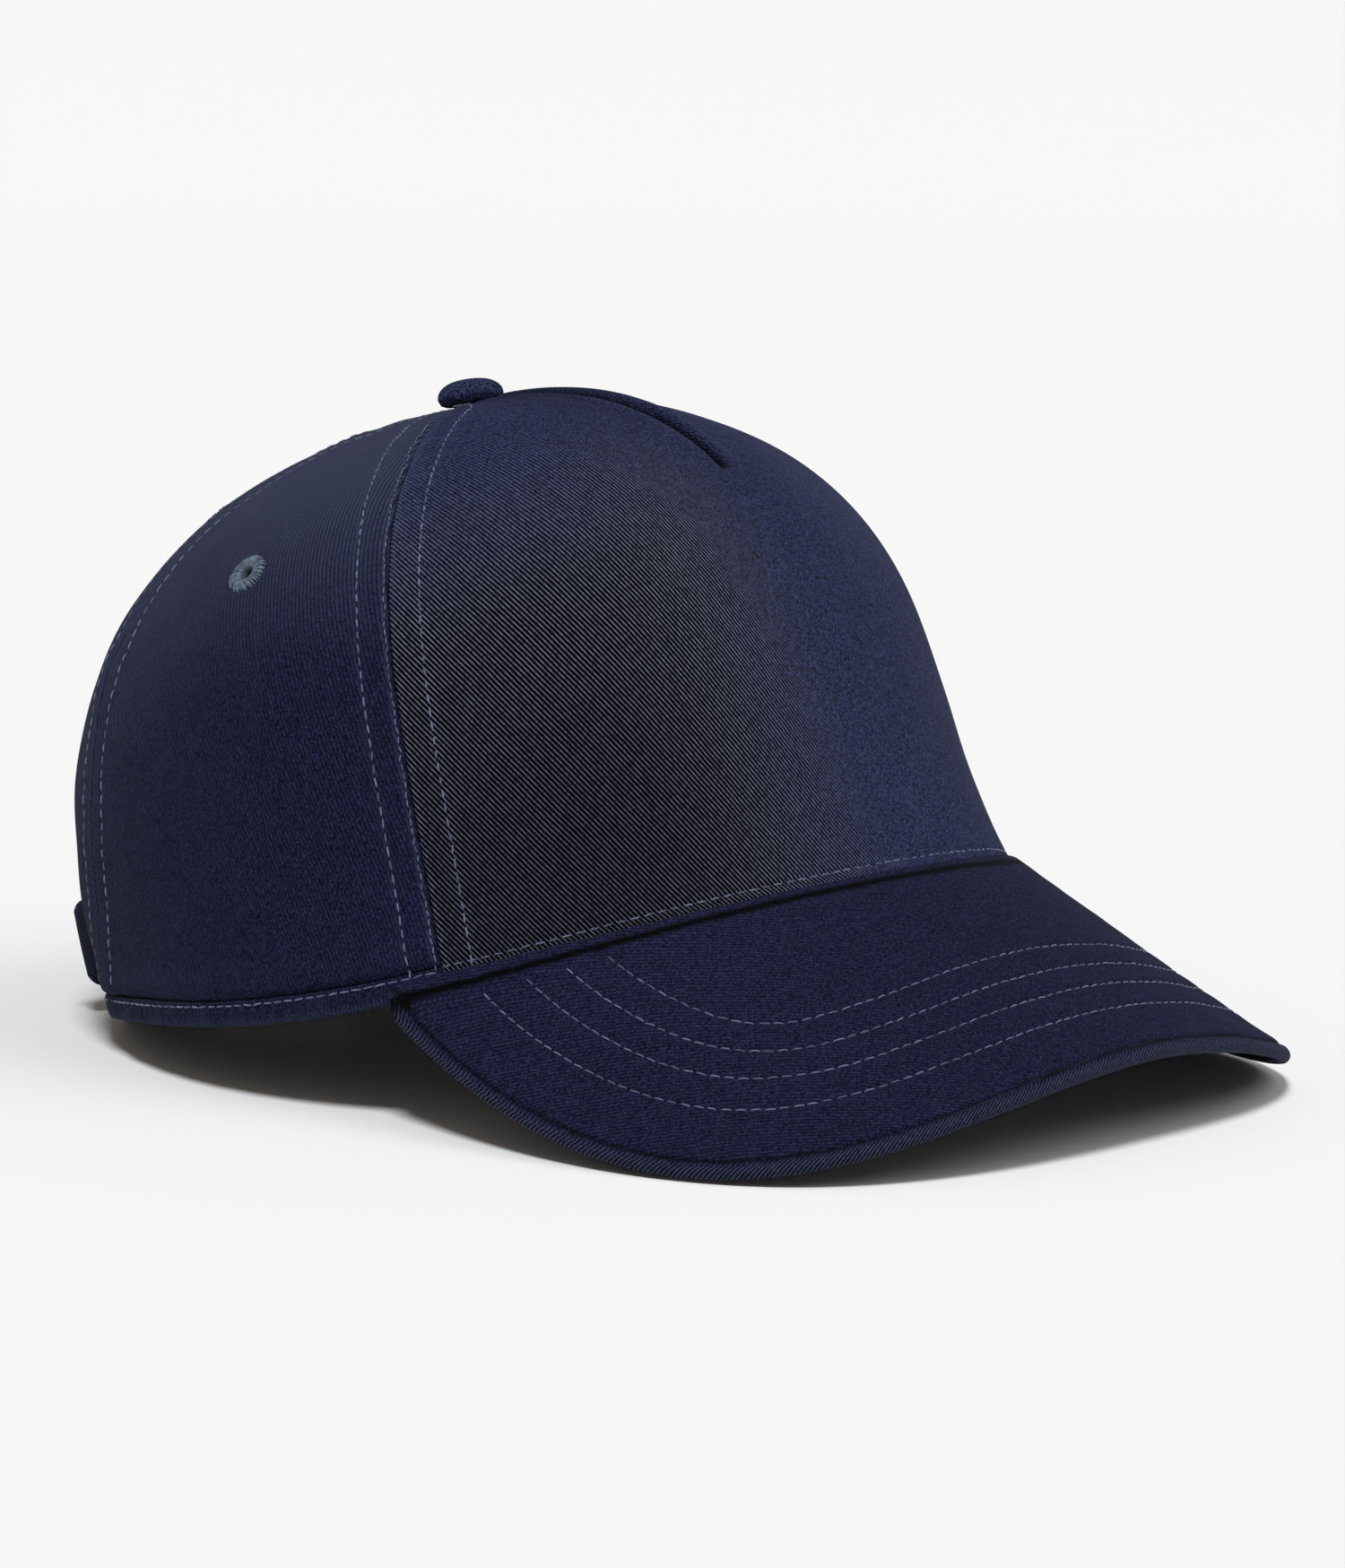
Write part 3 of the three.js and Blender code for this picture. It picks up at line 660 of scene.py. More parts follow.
def stitches(rows, radius=0.2, length=STITCH, gap=STITCH_GAP, rise=0.20, sink=0.24):
    """Points and faces of every stitch along rows, a list of (path, normal) on the cloth's face."""
    steps, sides = 7, 6
    shape = np.linspace(0, 1, steps)
    ring = circle(sides)
    arch = rise * (1 - np.abs(2 * shape - 1) ** 4) - sink
    thick = radius * (0.55 + 0.45 * np.sin(math.pi * shape) ** 0.5)
    pieces = []
    for path, normal in rows:
        run = run_along(path)
        count = int(run[-1] // (length + gap))
        start = np.arange(count) * (length + gap) + rng.normal(0, 0.06, count)
        size = length * rng.normal(1, 0.05, count)
        at = start[:, None] + size[:, None] * shape
        line = on_line(at, run, path)
        along = unit(np.gradient(line, axis=-2))
        side = unit(np.cross(unit(on_line(at, run, normal)), along))
        up = np.cross(along, side)
        lean = rng.normal(0, 0.07, count)[:, None] * (2 * shape - 1)
        line = line + side * lean[..., None] + up * (arch + rng.normal(0, 0.02, (count, 1)))[..., None]
        across = np.cos(ring)[None, None, :, None] * side[:, :, None]
        upward = np.sin(ring)[None, None, :, None] * up[:, :, None]
        pieces.append(line[:, :, None] + (across + upward) * thick[None, :, None, None])
    points = np.concatenate(pieces)
    one = loop_faces(steps, sides)
    caps = np.array([[3, 2, 1, 0], [5, 4, 3, 0]])
    last = (steps - 1) * sides
    one = np.concatenate([one, caps, last + caps[:, ::-1]])
    faces = copies(one, len(points), steps * sides)
    along = np.broadcast_to(shape[None, :, None] * 4, points.shape[:3])
    around = np.broadcast_to((ring / (2 * math.pi))[None, None, :], points.shape[:3])
    shade = np.broadcast_to(rng.uniform(0, 1, len(points))[:, None, None], points.shape[:3])
    return points.reshape(-1, 3), faces, np.stack([around, along], -1).reshape(-1, 2), shade.ravel()


def sew(name, rows, material, body="crown", **more):
    """One piece that holds all stitches of some rows."""
    points, faces, weave, shade = stitches(rows, **more)
    return add_mesh(name, points, faces, material, weave, body=body, wear_and_painted_light=shade)


# ---------------------------------------------------------------- materials
class Nodes:
    """Short names for the nodes of one procedural material."""

    def __init__(self, name):
        self.material = bpy.data.materials.new(name)
        self.material.use_nodes = True
        self.material.diffuse_color = (0.02, 0.02, 0.05, 1)
        self.tree = self.material.node_tree
        self.tree.nodes.clear()
        self.shader = self.tree.nodes.new("ShaderNodeBsdfPrincipled")
        out = self.tree.nodes.new("ShaderNodeOutputMaterial")
        self.link(self.shader.outputs[0], out.inputs["Surface"])

    def link(self, a, b):
        self.tree.links.new(a, b)

    def put(self, value, socket):
        if isinstance(value, bpy.types.NodeSocket):
            self.link(value, socket)
        else:
            socket.default_value = value

    def math(self, operation, a, b=0.0):
        node = self.tree.nodes.new("ShaderNodeMath")
        node.operation = operation
        for value, socket in zip((a, b), node.inputs):
            self.put(value, socket)
        return node.outputs[0]

    def plus(self, a, b):
        return self.math("ADD", a, b)

    def times(self, a, b):
        return self.math("MULTIPLY", a, b)

    def mix(self, share, a, b, blend="MIX"):
        node = self.tree.nodes.new("ShaderNodeMix")
        node.data_type, node.blend_type, node.clamp_factor = "RGBA", blend, True
        self.put(share, node.inputs["Factor"])
        self.put(a, node.inputs[6])
        self.put(b, node.inputs[7])
        return node.outputs[2]

    def attribute(self, name, output="Fac"):
        node = self.tree.nodes.new("ShaderNodeAttribute")
        node.attribute_name = name
        return node.outputs[output]

    def weave(self):
        """Where a point lies in its cloth: across the ribs, and along them."""
        place = self.attribute("weave", "Vector")
        node = self.tree.nodes.new("ShaderNodeSeparateXYZ")
        self.link(place, node.inputs[0])
        return node.outputs[0], node.outputs[1]

    def join(self, x, y, z=0.0):
        node = self.tree.nodes.new("ShaderNodeCombineXYZ")
        for value, socket in zip((x, y, z), node.inputs):
            self.put(value, socket)
        return node.outputs[0]

    def shaded(self, colour, grey):
        """The colour times a grey, which may be over 1."""
        return self.mix(1.0, colour, self.join(grey, grey, grey), "MULTIPLY")

    def place(self):
        return self.tree.nodes.new("ShaderNodeTexCoord").outputs["Object"]

    def noise(self, vector, scale, detail=2.0, roughness=0.5):
        node = self.tree.nodes.new("ShaderNodeTexNoise")
        self.put(vector, node.inputs["Vector"])
        node.inputs["Scale"].default_value = scale
        node.inputs["Detail"].default_value = detail
        node.inputs["Roughness"].default_value = roughness
        return node.outputs["Fac"]

    def random(self, vector):
        node = self.tree.nodes.new("ShaderNodeTexWhiteNoise")
        node.noise_dimensions = "2D"
        self.put(vector, node.inputs["Vector"])
        return node.outputs["Value"]

    def ramp(self, value, low, high, to_low=0.0, to_high=1.0):
        node = self.tree.nodes.new("ShaderNodeMapRange")
        node.interpolation_type = "SMOOTHSTEP"
        for v, socket in zip((value, low, high, to_low, to_high), node.inputs):
            self.put(v, socket)
        return node.outputs[0]

    def bumps(self, height, distance):
        node = self.tree.nodes.new("ShaderNodeBump")
        node.inputs["Distance"].default_value = distance
        self.put(height, node.inputs["Height"])
        return node.outputs[0]

    def finish(self, colour, normal=None, roughness=0.9, sheen=0.0, tint=(1, 1, 1), sheen_roughness=0.5,
               specular=0.3, metallic=0.0):
        self.put(colour, self.shader.inputs["Base Color"])
        self.put(roughness, self.shader.inputs["Roughness"])
        self.shader.inputs["Sheen Weight"].default_value = sheen
        self.shader.inputs["Sheen Roughness"].default_value = sheen_roughness
        self.shader.inputs["Sheen Tint"].default_value = (*tint, 1)
        self.shader.inputs["Specular IOR Level"].default_value = specular
        self.shader.inputs["Metallic"].default_value = metallic
        if normal is not None:
            self.link(normal, self.shader.inputs["Normal"])
        return self.material


# colours of the thin rib lines: painted shade in the grooves, painted highlights on the crests
RIB_GROOVE, RIB_CREST = (0.0005, 0.0007, 0.0030, 1), (0.150, 0.160, 0.225, 1)
# lint flecks, and the paler colour used for wear and for painted highlights
LINT, PALE_WEAR_AND_HIGHLIGHT = (0.09, 0.105, 0.17, 1), (0.070, 0.082, 0.145, 1)


def twill(name, groove, crest, contrast, fuzz, relief_mm=0.16):
    """Twill cloth: parallel ribs, each a row of short slanted floats of yarn, a little uneven, with
    fuzz and flecks. Its colour runs from groove to crest with the height of the ribs: painted shade in
    the grooves and painted light on the crests. It is paler where wear_and_painted_light is over 0, from
    wear and from painted highlights, and darker, painted shade in creases, where it is under 0. Where
    rib_highlights is high, thin painted highlights on the rib crests stand out over painted shade in
    the grooves."""
    n = Nodes(name)
    ribs, along = n.weave()
    rib_highlights = n.attribute("rib_highlights")
    place = n.place()
    wander = n.times(n.math("SUBTRACT", n.noise(place, 90, 1), 0.5), 0.5)
    ribs = n.plus(ribs, wander)
    row = n.math("FLOOR", ribs)
    wave_in_rib = n.math("SINE", n.times(n.math("FRACT", ribs), math.pi))
    shift = n.times(n.random(n.join(row, 0.0)), 0.35)
    yarn = n.plus(n.times(along, 1.35), n.plus(n.times(ribs, 0.5), shift))
    from_middle = n.math("SUBTRACT", n.times(n.math("FRACT", yarn), 2.0), 1.0)
    float_end = n.math("POWER", n.math("ABSOLUTE", from_middle), 4.0)
    height = n.times(n.math("POWER", wave_in_rib, 0.8), n.math("SUBTRACT", 1.0, n.times(float_end, 0.45)))
    each = n.random(n.join(row, n.math("FLOOR", yarn)))
    fibres = n.noise(place, 2600, 2, 0.7)
    height = n.plus(height, n.times(fibres, 0.35 * fuzz))
    # darker in the grooves and lighter on the crests, each float a little lighter or darker at random: painted shade
    # and painted light by the relief's height
    shade = n.times(n.plus(0.72, n.times(each, 0.5)), height)
    soft = n.ramp(shade, 0.42 - 0.30 * contrast, 0.85 + 0.1 * contrast)
    clean = n.plus(wave_in_rib, n.times(each, 0.10))
    strong = n.ramp(clean, 0.90, 1.04)
    colour = n.mix(soft, (*groove, 1), (*crest, 1))
    speck = n.ramp(n.noise(place, 1900, 2, 0.75), 0.30, 0.74, 1 - 0.62 * fuzz, 1 + 0.74 * fuzz)
    colour = n.shaded(colour, speck)
    # thin painted highlights on the rib crests over painted shade in the grooves, where rib_highlights is high
    lines = n.mix(strong, RIB_GROOVE, RIB_CREST)
    colour = n.mix(rib_highlights, colour, lines)
    broad = n.ramp(n.noise(place, 22, 3), 0.25, 0.75, 0.94, 1.06)
    colour = n.shaded(colour, broad)
    lint = n.ramp(n.noise(place, 1150, 1), 0.76, 0.82, 0.0, 0.16 * fuzz)
    colour = n.mix(lint, colour, LINT)
    # paler for wear and for painted highlights; under 0, painted shade in creases and joins
    wear_and_painted_light = n.attribute("wear_and_painted_light")
    wear_and_highlight = n.times(wear_and_painted_light, n.ramp(height, 0.3, 1.1, 0.15, 0.75))
    colour = n.mix(n.times(wear_and_highlight, 0.55), colour, PALE_WEAR_AND_HIGHLIGHT)
    deep = n.ramp(wear_and_painted_light, -1.0, 0.0)
    colour = n.shaded(colour, deep)
    depth = n.plus(n.times(wave_in_rib, 0.6), n.times(height, 0.4))
    normal = n.bumps(depth, relief_mm / 1000)
    return n.finish(colour, normal, roughness=0.9, sheen=0.05, tint=(0.60, 0.66, 0.95),
                    sheen_roughness=0.33, specular=0.07)


def plain_weave(name, dark, light, pitch=0.55, relief_mm=0.08, sheen=0.15):
    """Plain weave: small squares over and under."""
    n = Nodes(name)
    across, along = n.weave()
    place = n.place()
    x, y = (n.times(v, math.pi * RIB / pitch) for v in (across, along))
    over = n.times(n.math("SINE", x), n.math("SINE", y))
    height = n.plus(n.math("ABSOLUTE", over), n.times(n.noise(place, 2400, 2), 0.3))
    colour = n.mix(n.ramp(height, 0.1, 1.1), (*dark, 1), (*light, 1))
    broad = n.ramp(n.noise(place, 30, 3), 0.25, 0.75, 0.88, 1.12)
    colour = n.shaded(colour, broad)
    return n.finish(colour, n.bumps(height, relief_mm / 1000), roughness=0.88, sheen=sheen,
                    tint=(0.7, 0.75, 0.95), specular=0.25)


def thread(name, dark, light):
    """Twisted sewing thread: fine turns round it, each stitch a little lighter or darker."""
    n = Nodes(name)
    around, along = n.weave()
    winding = n.plus(n.times(along, 1.3), around)
    turns = n.math("SINE", n.times(winding, 2 * math.pi))
    height = n.plus(n.times(turns, 0.5), n.noise(n.place(), 3000, 2))
    each = n.ramp(n.attribute("wear_and_painted_light"), 0.0, 1.0, 0.25, 0.95)
    colour = n.mix(n.times(each, n.ramp(height, -0.2, 1.2, 0.55, 1.0)), (*dark, 1), (*light, 1))
    return n.finish(colour, n.bumps(height, 0.00006), roughness=0.5, sheen=0.2, tint=(0.8, 0.85, 1),
                    specular=0.5)


def speckled(name, dark, light, scale, distance, roughness=0.7, metallic=0.0, sheen=0.0, stretch=(1, 1, 1)):
    """Moulded, brushed, napped or hooked surfaces: noise of one size, stretched as asked."""
    n = Nodes(name)
    node = n.tree.nodes.new("ShaderNodeMapping")
    node.inputs["Scale"].default_value = stretch
    n.put(n.place(), node.inputs["Vector"])
    grain = n.noise(node.outputs[0], scale, 3, 0.6)
    broad = n.noise(n.place(), 60, 2)
    share = n.plus(n.times(grain, 0.7), n.times(broad, 0.3))
    colour = n.mix(n.ramp(share, 0.3, 0.7), (*dark, 1), (*light, 1))
    rough = n.ramp(grain, 0.3, 0.7, max(roughness - 0.12, 0.05), min(roughness + 0.1, 1))
    return n.finish(colour, n.bumps(grain, distance), roughness=rough, metallic=metallic, sheen=sheen,
                    specular=0.5)


NAVY = twill("navy_twill", (0.0010, 0.0014, 0.0075), (0.0262, 0.0316, 0.084), 1.0, 1.35)
# a darker copy of the navy twill for the side and back panels and the hem binding: painted shade, as less light falls
# on the sides
NAVY_SHADED = twill("navy_twill_painted_shade", (0.0009, 0.0012, 0.0062), (0.0112, 0.0130, 0.040), 1.0, 1.35)
# a darker copy of the navy twill for the visor: painted shade for how light falls on it
NAVY_VISOR_SHADED = twill("navy_twill_visor_painted_shade", (0.0022, 0.0026, 0.0105), (0.0120, 0.0132, 0.040), 0.7, 1.3, 0.10)
NAVY_TAPE = plain_weave("seam_tape", (0.004, 0.005, 0.014), (0.030, 0.035, 0.075))
NAVY_BAND = twill("sweatband_twill", (0.005, 0.006, 0.016), (0.036, 0.042, 0.09), 0.7, 0.8, 0.1)
BUCKRAM = plain_weave("buckram", (0.30, 0.29, 0.26), (0.74, 0.72, 0.66), pitch=1.1, relief_mm=0.2, sheen=0.0)
THREAD = thread("navy_thread", (0.022, 0.029, 0.066), (0.158, 0.188, 0.320))
EYELET = thread("eyelet_thread", (0.030, 0.048, 0.080), (0.125, 0.175, 0.235))
LABEL = plain_weave("label", (0.55, 0.54, 0.50), (0.82, 0.80, 0.76), pitch=0.4, relief_mm=0.03, sheen=0.1)
METAL = speckled("rivet_metal", (0.45, 0.46, 0.48), (0.62, 0.63, 0.65), 700, 0.00001, 0.35, 1.0,
                 stretch=(1, 1, 12))
BOARD = speckled("visor_board", (0.66, 0.67, 0.69), (0.78, 0.78, 0.80), 900, 0.00003, 0.55)
HOOKS = speckled("hook_tape", (0.006, 0.006, 0.009), (0.05, 0.05, 0.065), 1500, 0.0003, 0.55)
LOOPS = speckled("loop_tape", (0.008, 0.009, 0.018), (0.045, 0.05, 0.085), 1300, 0.00025, 0.95, sheen=0.3)


# ---------------------------------------------------------------- how the cloth lies
def weave_at(s, t, angle):
    """Ribs across and along at flat places s and t (mm), for ribs that fall at angle towards +s."""
    a = math.radians(angle)
    return np.stack([s * math.sin(a) + t * math.cos(a), s * math.cos(a) - t * math.sin(a)], -1) / RIB


def panel_weave(turn, rise, middle, angle):
    """The cloth's lie on a crown panel, laid out from the panel's middle line and the hem."""
    radius = radius_at(turn, rise)
    levels = np.linspace(0, 1, 241)
    t = np.interp(rise, levels, run_along(crown_point(np.full_like(levels, middle), levels)))
    at_hem = radius_at(turn, 0 * rise)
    lean = 0.8 * np.tanh((turn - middle) / 0.35) if abs(middle) < 0.1 else 0
    s = at_hem * (turn - middle) + (radius - at_hem) * (turn - middle - lean)
    return weave_at(s, t, angle)


EDGE_STEPS = np.array([0, 0.05, 0.14, 0.28, 0.46, 0.7, 1.0, 1.4, 1.9, 2.5, 3.2, 4.0])


def panel_grid(edge_a, edge_b, lowest, columns, rows):
    """Turns and rises of a grid that fills a panel, with narrow cells along its seams."""
    share = np.linspace(0, 1, columns)
    from_low = np.concatenate([[0, 0.0006, 0.0018, 0.004], np.linspace(0, 1, rows)[1:]])
    e = EDGE_STEPS
    zero = np.zeros(1)
    a0, b0 = edge_a(zero)[0], edge_b(zero)[0]
    width0 = (b0 - a0) * HALF_WIDTH
    x0 = np.concatenate([e, e[-1] + share[1:-1] * (width0 - 2 * e[-1]), width0 - e[::-1]])
    nominal = a0 + x0 / HALF_WIDTH
    low, top = lowest(nominal), rise_at_radius(nominal, POST_HOLE)
    rise = low[None] + (top - low)[None] * from_low[:, None]
    radius = radius_at(nominal[None], rise)
    inset = 0.4 * GAP
    width = (edge_b(rise) - edge_a(rise)) * radius - 2 * inset
    k = np.minimum(1, width / 22)
    lead, tail = e[None] * k[:, :1], e[None, ::-1] * k[:, -1:]
    body = share[None, 1:-1]
    inner_a, inner_b = e[-1] * k, width - e[-1] * k
    x = np.empty_like(rise)
    m = len(e)
    x[:, :m] = lead
    x[:, m:-m] = inner_a[:, m:-m] + body * (inner_b - inner_a)[:, m:-m]
    x[:, -m:] = width[:, -m:] - tail
    return edge_a(rise) + (inset + x) / radius, rise


def on_visor(turn):
    """The lowest rise of the panel over the visor."""
    return 0 * turn


def on_hem(turn):
    """The lowest rise of a panel over the hem binding, or over the back opening."""
    return rise_at_height(turn, np.maximum(HEM_HEIGHT + GAP, arch_height(turn)))


def near(turn, rise, spot, radius):
    """True where a point of the crown is within radius of an eyelet's centre."""
    at = crown_point(np.radians(spot[0]), np.array(spot[1]))
    return np.linalg.norm(crown_point(turn, rise) - at, axis=-1) < radius


def crown_wear_and_painted_light(turn, rise):
    """How much wear the crown's cloth shows along its seams and the arch, and paler on the dart's lips;
    paler high up on the side and back panels, a painted highlight where light falls from above; under
    0, painted shade in the dart's crease and at the front panel's foot."""
    radius = radius_at(turn, rise)
    height = height_at(turn, rise)
    out = 0 * turn
    for line in SEAMS.values():
        far = np.abs(turn - line(rise)) * radius
        out = out + 0.7 * bump(far - 0.9, 0.5) + 0.22 * bump(far - SEAM_ROW - 0.4, 0.9)
    out = out + 0.5 * bump(arch_distance(turn, height, radius) - 0.6, 0.6)
    far = np.abs(turn) * radius
    lips, crease = bump(far - 2.9, 0.8), bump(turn * radius - 0.35, 1.15) * smooth(rise, DART_START, 0.64)
    out = np.clip(out + 0.55 * lips * smooth(rise, 0.62, 0.7), 0, 1)
    # painted highlight: paler high up on the side and back panels, where light falls from above
    away = smooth(np.abs(turn), math.radians(FRONT_SEAM) - 0.1, math.radians(FRONT_SEAM) + 0.1)
    out = np.clip(out + away * 1.15 * smooth(rise, 0.45, 0.85), 0, 1.3)
    # painted shade: dark in the dart's crease and at the front panel's foot over the visor
    low = bump(height, 0.5) * smooth(-np.abs(turn), -math.radians(FRONT_SEAM), -1.0)
    return out * (1 - crease) - 0.97 * np.clip(crease + low, 0, 1)


def crown_panel(name, edge_a, edge_b, lowest, columns, rows, middle, angle, material, spot=None):
    turn, rise = panel_grid(edge_a, edge_b, lowest, columns, rows)
    front = outer(turn, rise)
    back = outer(turn, rise, -CLOTH)
    keep = None
    if spot:
        centre = (turn[:-1, :-1] + turn[1:, 1:]) / 2, (rise[:-1, :-1] + rise[1:, 1:]) / 2
        keep = ~near(*centre, spot, (EYELET_HOLE + EYELET_OUTER) / 2)
    weave = panel_weave(turn, rise, middle, angle)
    wear_and_painted_light, rib_highlights = crown_wear_and_painted_light(turn, rise), 0 * turn
    if middle == 0:     # the front panel: painted highlights on the rib crests and painted shade on the wearer's right, a painted highlight on the upper left
        rib_highlights = smooth(-turn, -0.06, 0.45) * (1 - smooth(rise, 0.46, 0.84))
        # pale is a painted highlight, dim is painted shade
        pale = 0.5 * smooth(turn, 0.05, 0.45) * smooth(rise, 0.35, 0.65)
        dim = 0.50 * smooth(-turn, -0.05, 0.70) * (1 - smooth(rise, 0.1, 0.9))
        wear_and_painted_light = (np.maximum(wear_and_painted_light, 0) + pale) * (1 - dim) - np.maximum(dim, -wear_and_painted_light)
    return slab(name, front, back, material, weave, keep, wear_and_painted_light, rib_highlights)


FRONT_GRAIN, SIDE_GRAIN = 60, 74
panels = {}
panels["front_panel"] = crown_panel("front_cloth", SEAMS["right_front"], SEAMS["left_front"], on_visor,
                                    230, 170, 0.0, FRONT_GRAIN, NAVY)
SIDES = {"right": -1, "left": 1}
for word, side in SIDES.items():
    for place, first, last in (("side", "front", "rear"), ("back", "rear", "back")):
        edges = [SEAMS[f"{word}_{first}"], SEAMS[f"{word}_{last}"]]
        if side < 0:
            edges.reverse()
        hem_turns = [edge(np.zeros(1))[0] for edge in edges]
        spot = EYELETS[f"{word}_{place}"]
        node = f"{word}_{place}_panel"
        panels[node] = crown_panel(f"{word}_{place}_cloth", *edges, on_hem, 130, 150,
                                   sum(hem_turns) / 2, SIDE_GRAIN, NAVY_SHADED, spot)
for node, piece in panels.items():
    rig.slot(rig.replaces(piece, node), "navy_twill")


# ---------------------------------------------------------------- strips: tapes, band, straps, labels
def clustered(count, length, thickness):
    """Shares from 0 to 1 with narrow steps at both ends, where the strip's edge is rounded."""
    ends = np.array([0, 0.04, 0.15, 0.32, 0.6, 1.0]) * thickness / 2 / length
    return np.concatenate([ends, np.linspace(ends[-1], 1 - ends[-1], count)[1:-1], 1 - ends[::-1]])


def strip(name, place, size, counts, thickness, material, grain=-45.0, wear_and_painted_light=0.0, body="crown"):
    """A flat strip of cloth with rounded edges. place(u, v, offset) gives the point at u along and v
    across, both from 0 to 1, and offset mm out from its inner face; size is length and width in mm."""
    u, v = np.meshgrid(clustered(counts[0], size[0], thickness), clustered(counts[1], size[1], thickness))
    from_edge = np.minimum(np.minimum(u, 1 - u) * size[0], np.minimum(v, 1 - v) * size[1])
    r = thickness / 2
    rounding = r - np.sqrt(np.maximum(r * r - (r - np.minimum(from_edge, r)) ** 2, 0))
    front, back = place(u, v, thickness - rounding), place(u, v, rounding)
    i, j = front.shape[0] // 2, front.shape[1] // 2
    if np.cross(front[i, j + 1] - front[i, j], front[i + 1, j] - front[i, j]) @ (front - back)[i, j] < 0:
        front, back, u, v, from_edge = (a[:, ::-1] for a in (front, back, u, v, from_edge))
    weave = weave_at(u * size[0], v * size[1], grain)
    return slab(name, front, back, material, weave, wear_and_painted_light=wear_and_painted_light * bump(from_edge - 0.4, 0.5), body=body)


# ---------------------------------------------------------------- inside the crown
def seam_tape(word, line, first):
    nominal = line(np.zeros(()))
    low = 0 * nominal if abs(nominal) < 0.01 else on_hem(nominal)
    top = rise_at_radius(nominal, POST_HOLE)
    levels = lerp(low, top, np.linspace(first, TAPE_LAST, 60))
    length = np.linalg.norm(np.diff(crown_point(0 * levels + nominal, levels), axis=0), axis=1).sum()

    def place(u, v, offset):
        rise = lerp(low, top, lerp(first, TAPE_LAST, u))
        turn = line(rise) + (0.5 - v) * TAPE_WIDTH / np.maximum(radius_at(nominal, rise), TAPE_WIDTH)
        swell = 0.12 * ripple(u * length, v * 9, 9, 61)
        return under(turn, rise, -TAPE_DEPTH - TAPE + offset + swell)

    piece = strip(f"{word}_tape_cloth", place, (length, TAPE_WIDTH), (90, 12), TAPE, NAVY_TAPE)
    rows = []
    for v in (0.08, 0.92):
        u = np.linspace(0.01, 0.99, 300)
        path = place(u, 0 * u + v, 0 * u - 0.02)
        rows.append((path, -crown_normal(line(lerp(low, top, lerp(first, TAPE_LAST, u))), lerp(low, top, u))))
    return piece, rows


inner_rows = []
tapes = {}
TAPES = {"right_front_seam": (SEAMS["right_front"], 0), "left_front_seam": (SEAMS["left_front"], 0),
         "right_rear_seam": (SEAMS["right_rear"], 0), "left_rear_seam": (SEAMS["left_rear"], 0),
         "centre_back_seam": (SEAMS["left_back"], 1 / 12), "dart": (seam(0, 0), 7 / 12)}
for word, (line, first) in TAPES.items():
    tape, rows = seam_tape(word, line, first)
    inner_rows += rows
    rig.slot(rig.replaces(tape, f"{word}_tape"), "seam_tape")
    tapes[word] = tape


def arch_line(sweep, grow):
    """Turn and height along a line grow mm outside the back opening's edge."""
    power = 2 / ARCH_POWER
    away = np.radians(ARCH_HALF + grow / 1.6) * np.sign(np.cos(sweep)) * np.abs(np.cos(sweep)) ** power
    height = (ARCH_HEIGHT + grow) * np.maximum(np.sin(sweep), 0) ** power
    return math.pi - away, np.maximum(height, HEM_HEIGHT + GAP)


def opening_tape_place(u, v, offset):
    turn, height = arch_line(math.pi * u, lerp(0.6, ARCH_TAPE_WIDTH, v))
    return under(turn, rise_at_height(turn, height), -ARCH_TAPE_DEPTH - TAPE + offset)


opening_tape = strip("back_opening_tape_cloth", opening_tape_place, (150, 8.4), (120, 8), TAPE, NAVY_TAPE)
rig.slot(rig.replaces(opening_tape, "back_opening_tape"), "seam_tape")

BAND_END = math.radians(180 - ARCH_HALF - 1)


def band_place(u, v, offset):
    turn = lerp(-BAND_END, BAND_END, u)
    rise = rise_at_height(turn, lerp(0.6, BAND_HEIGHT, v))
    waves = 0.35 * ripple(turn * PER_TURN, v * 12, 30, 71) * v + 0.12 * ripple(turn * PER_TURN, 0 * v, 8, 72)
    puff = 0.5 * bump(v - 0.55, 0.4)
    return above_table(under(turn, rise, -BAND_DEPTH - BAND_THICKNESS + offset + waves * 0.6 - puff))


band = strip("sweatband_cloth", band_place, (500, 30.4), (330, 26), BAND_THICKNESS, NAVY_BAND, -60, 0.4)
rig.slot(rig.replaces(band, "sweatband"), "sweatband_twill")
for v in (0.12, 0.93):
    u = np.linspace(0.003, 0.997, 1200)
    inward = -crown_normal(lerp(-BAND_END, BAND_END, u), 0 * u + 0.1)
    inner_rows.append((band_place(u, 0 * u + v, 0 * u - 0.02), inward))


def stiffener_place(u, v, offset):
    turn0 = lerp(SEAMS["right_front"](0 * u), SEAMS["left_front"](0 * u), 1 - u) * 0.97
    rise = lerp(0.004, rise_at_radius(turn0, POST_HOLE), v)
    turn = 0.97 * lerp(SEAMS["right_front"](rise), SEAMS["left_front"](rise), 1 - u)
    return under(turn, rise, -CLOTH - GAP - STIFFENER + offset)


stiffener = strip("front_stiffener_weave", stiffener_place, (190, 165), (150, 110), STIFFENER, BUCKRAM, 0)
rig.slot(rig.replaces(stiffener, "front_stiffener"), "buckram")


def label_place(backs, heights, depth):
    def place(u, v, offset):
        turn = math.pi - np.radians(lerp(*backs, u))
        return under(turn, rise_at_height(turn, lerp(*heights, v)), -depth + offset)
    return place


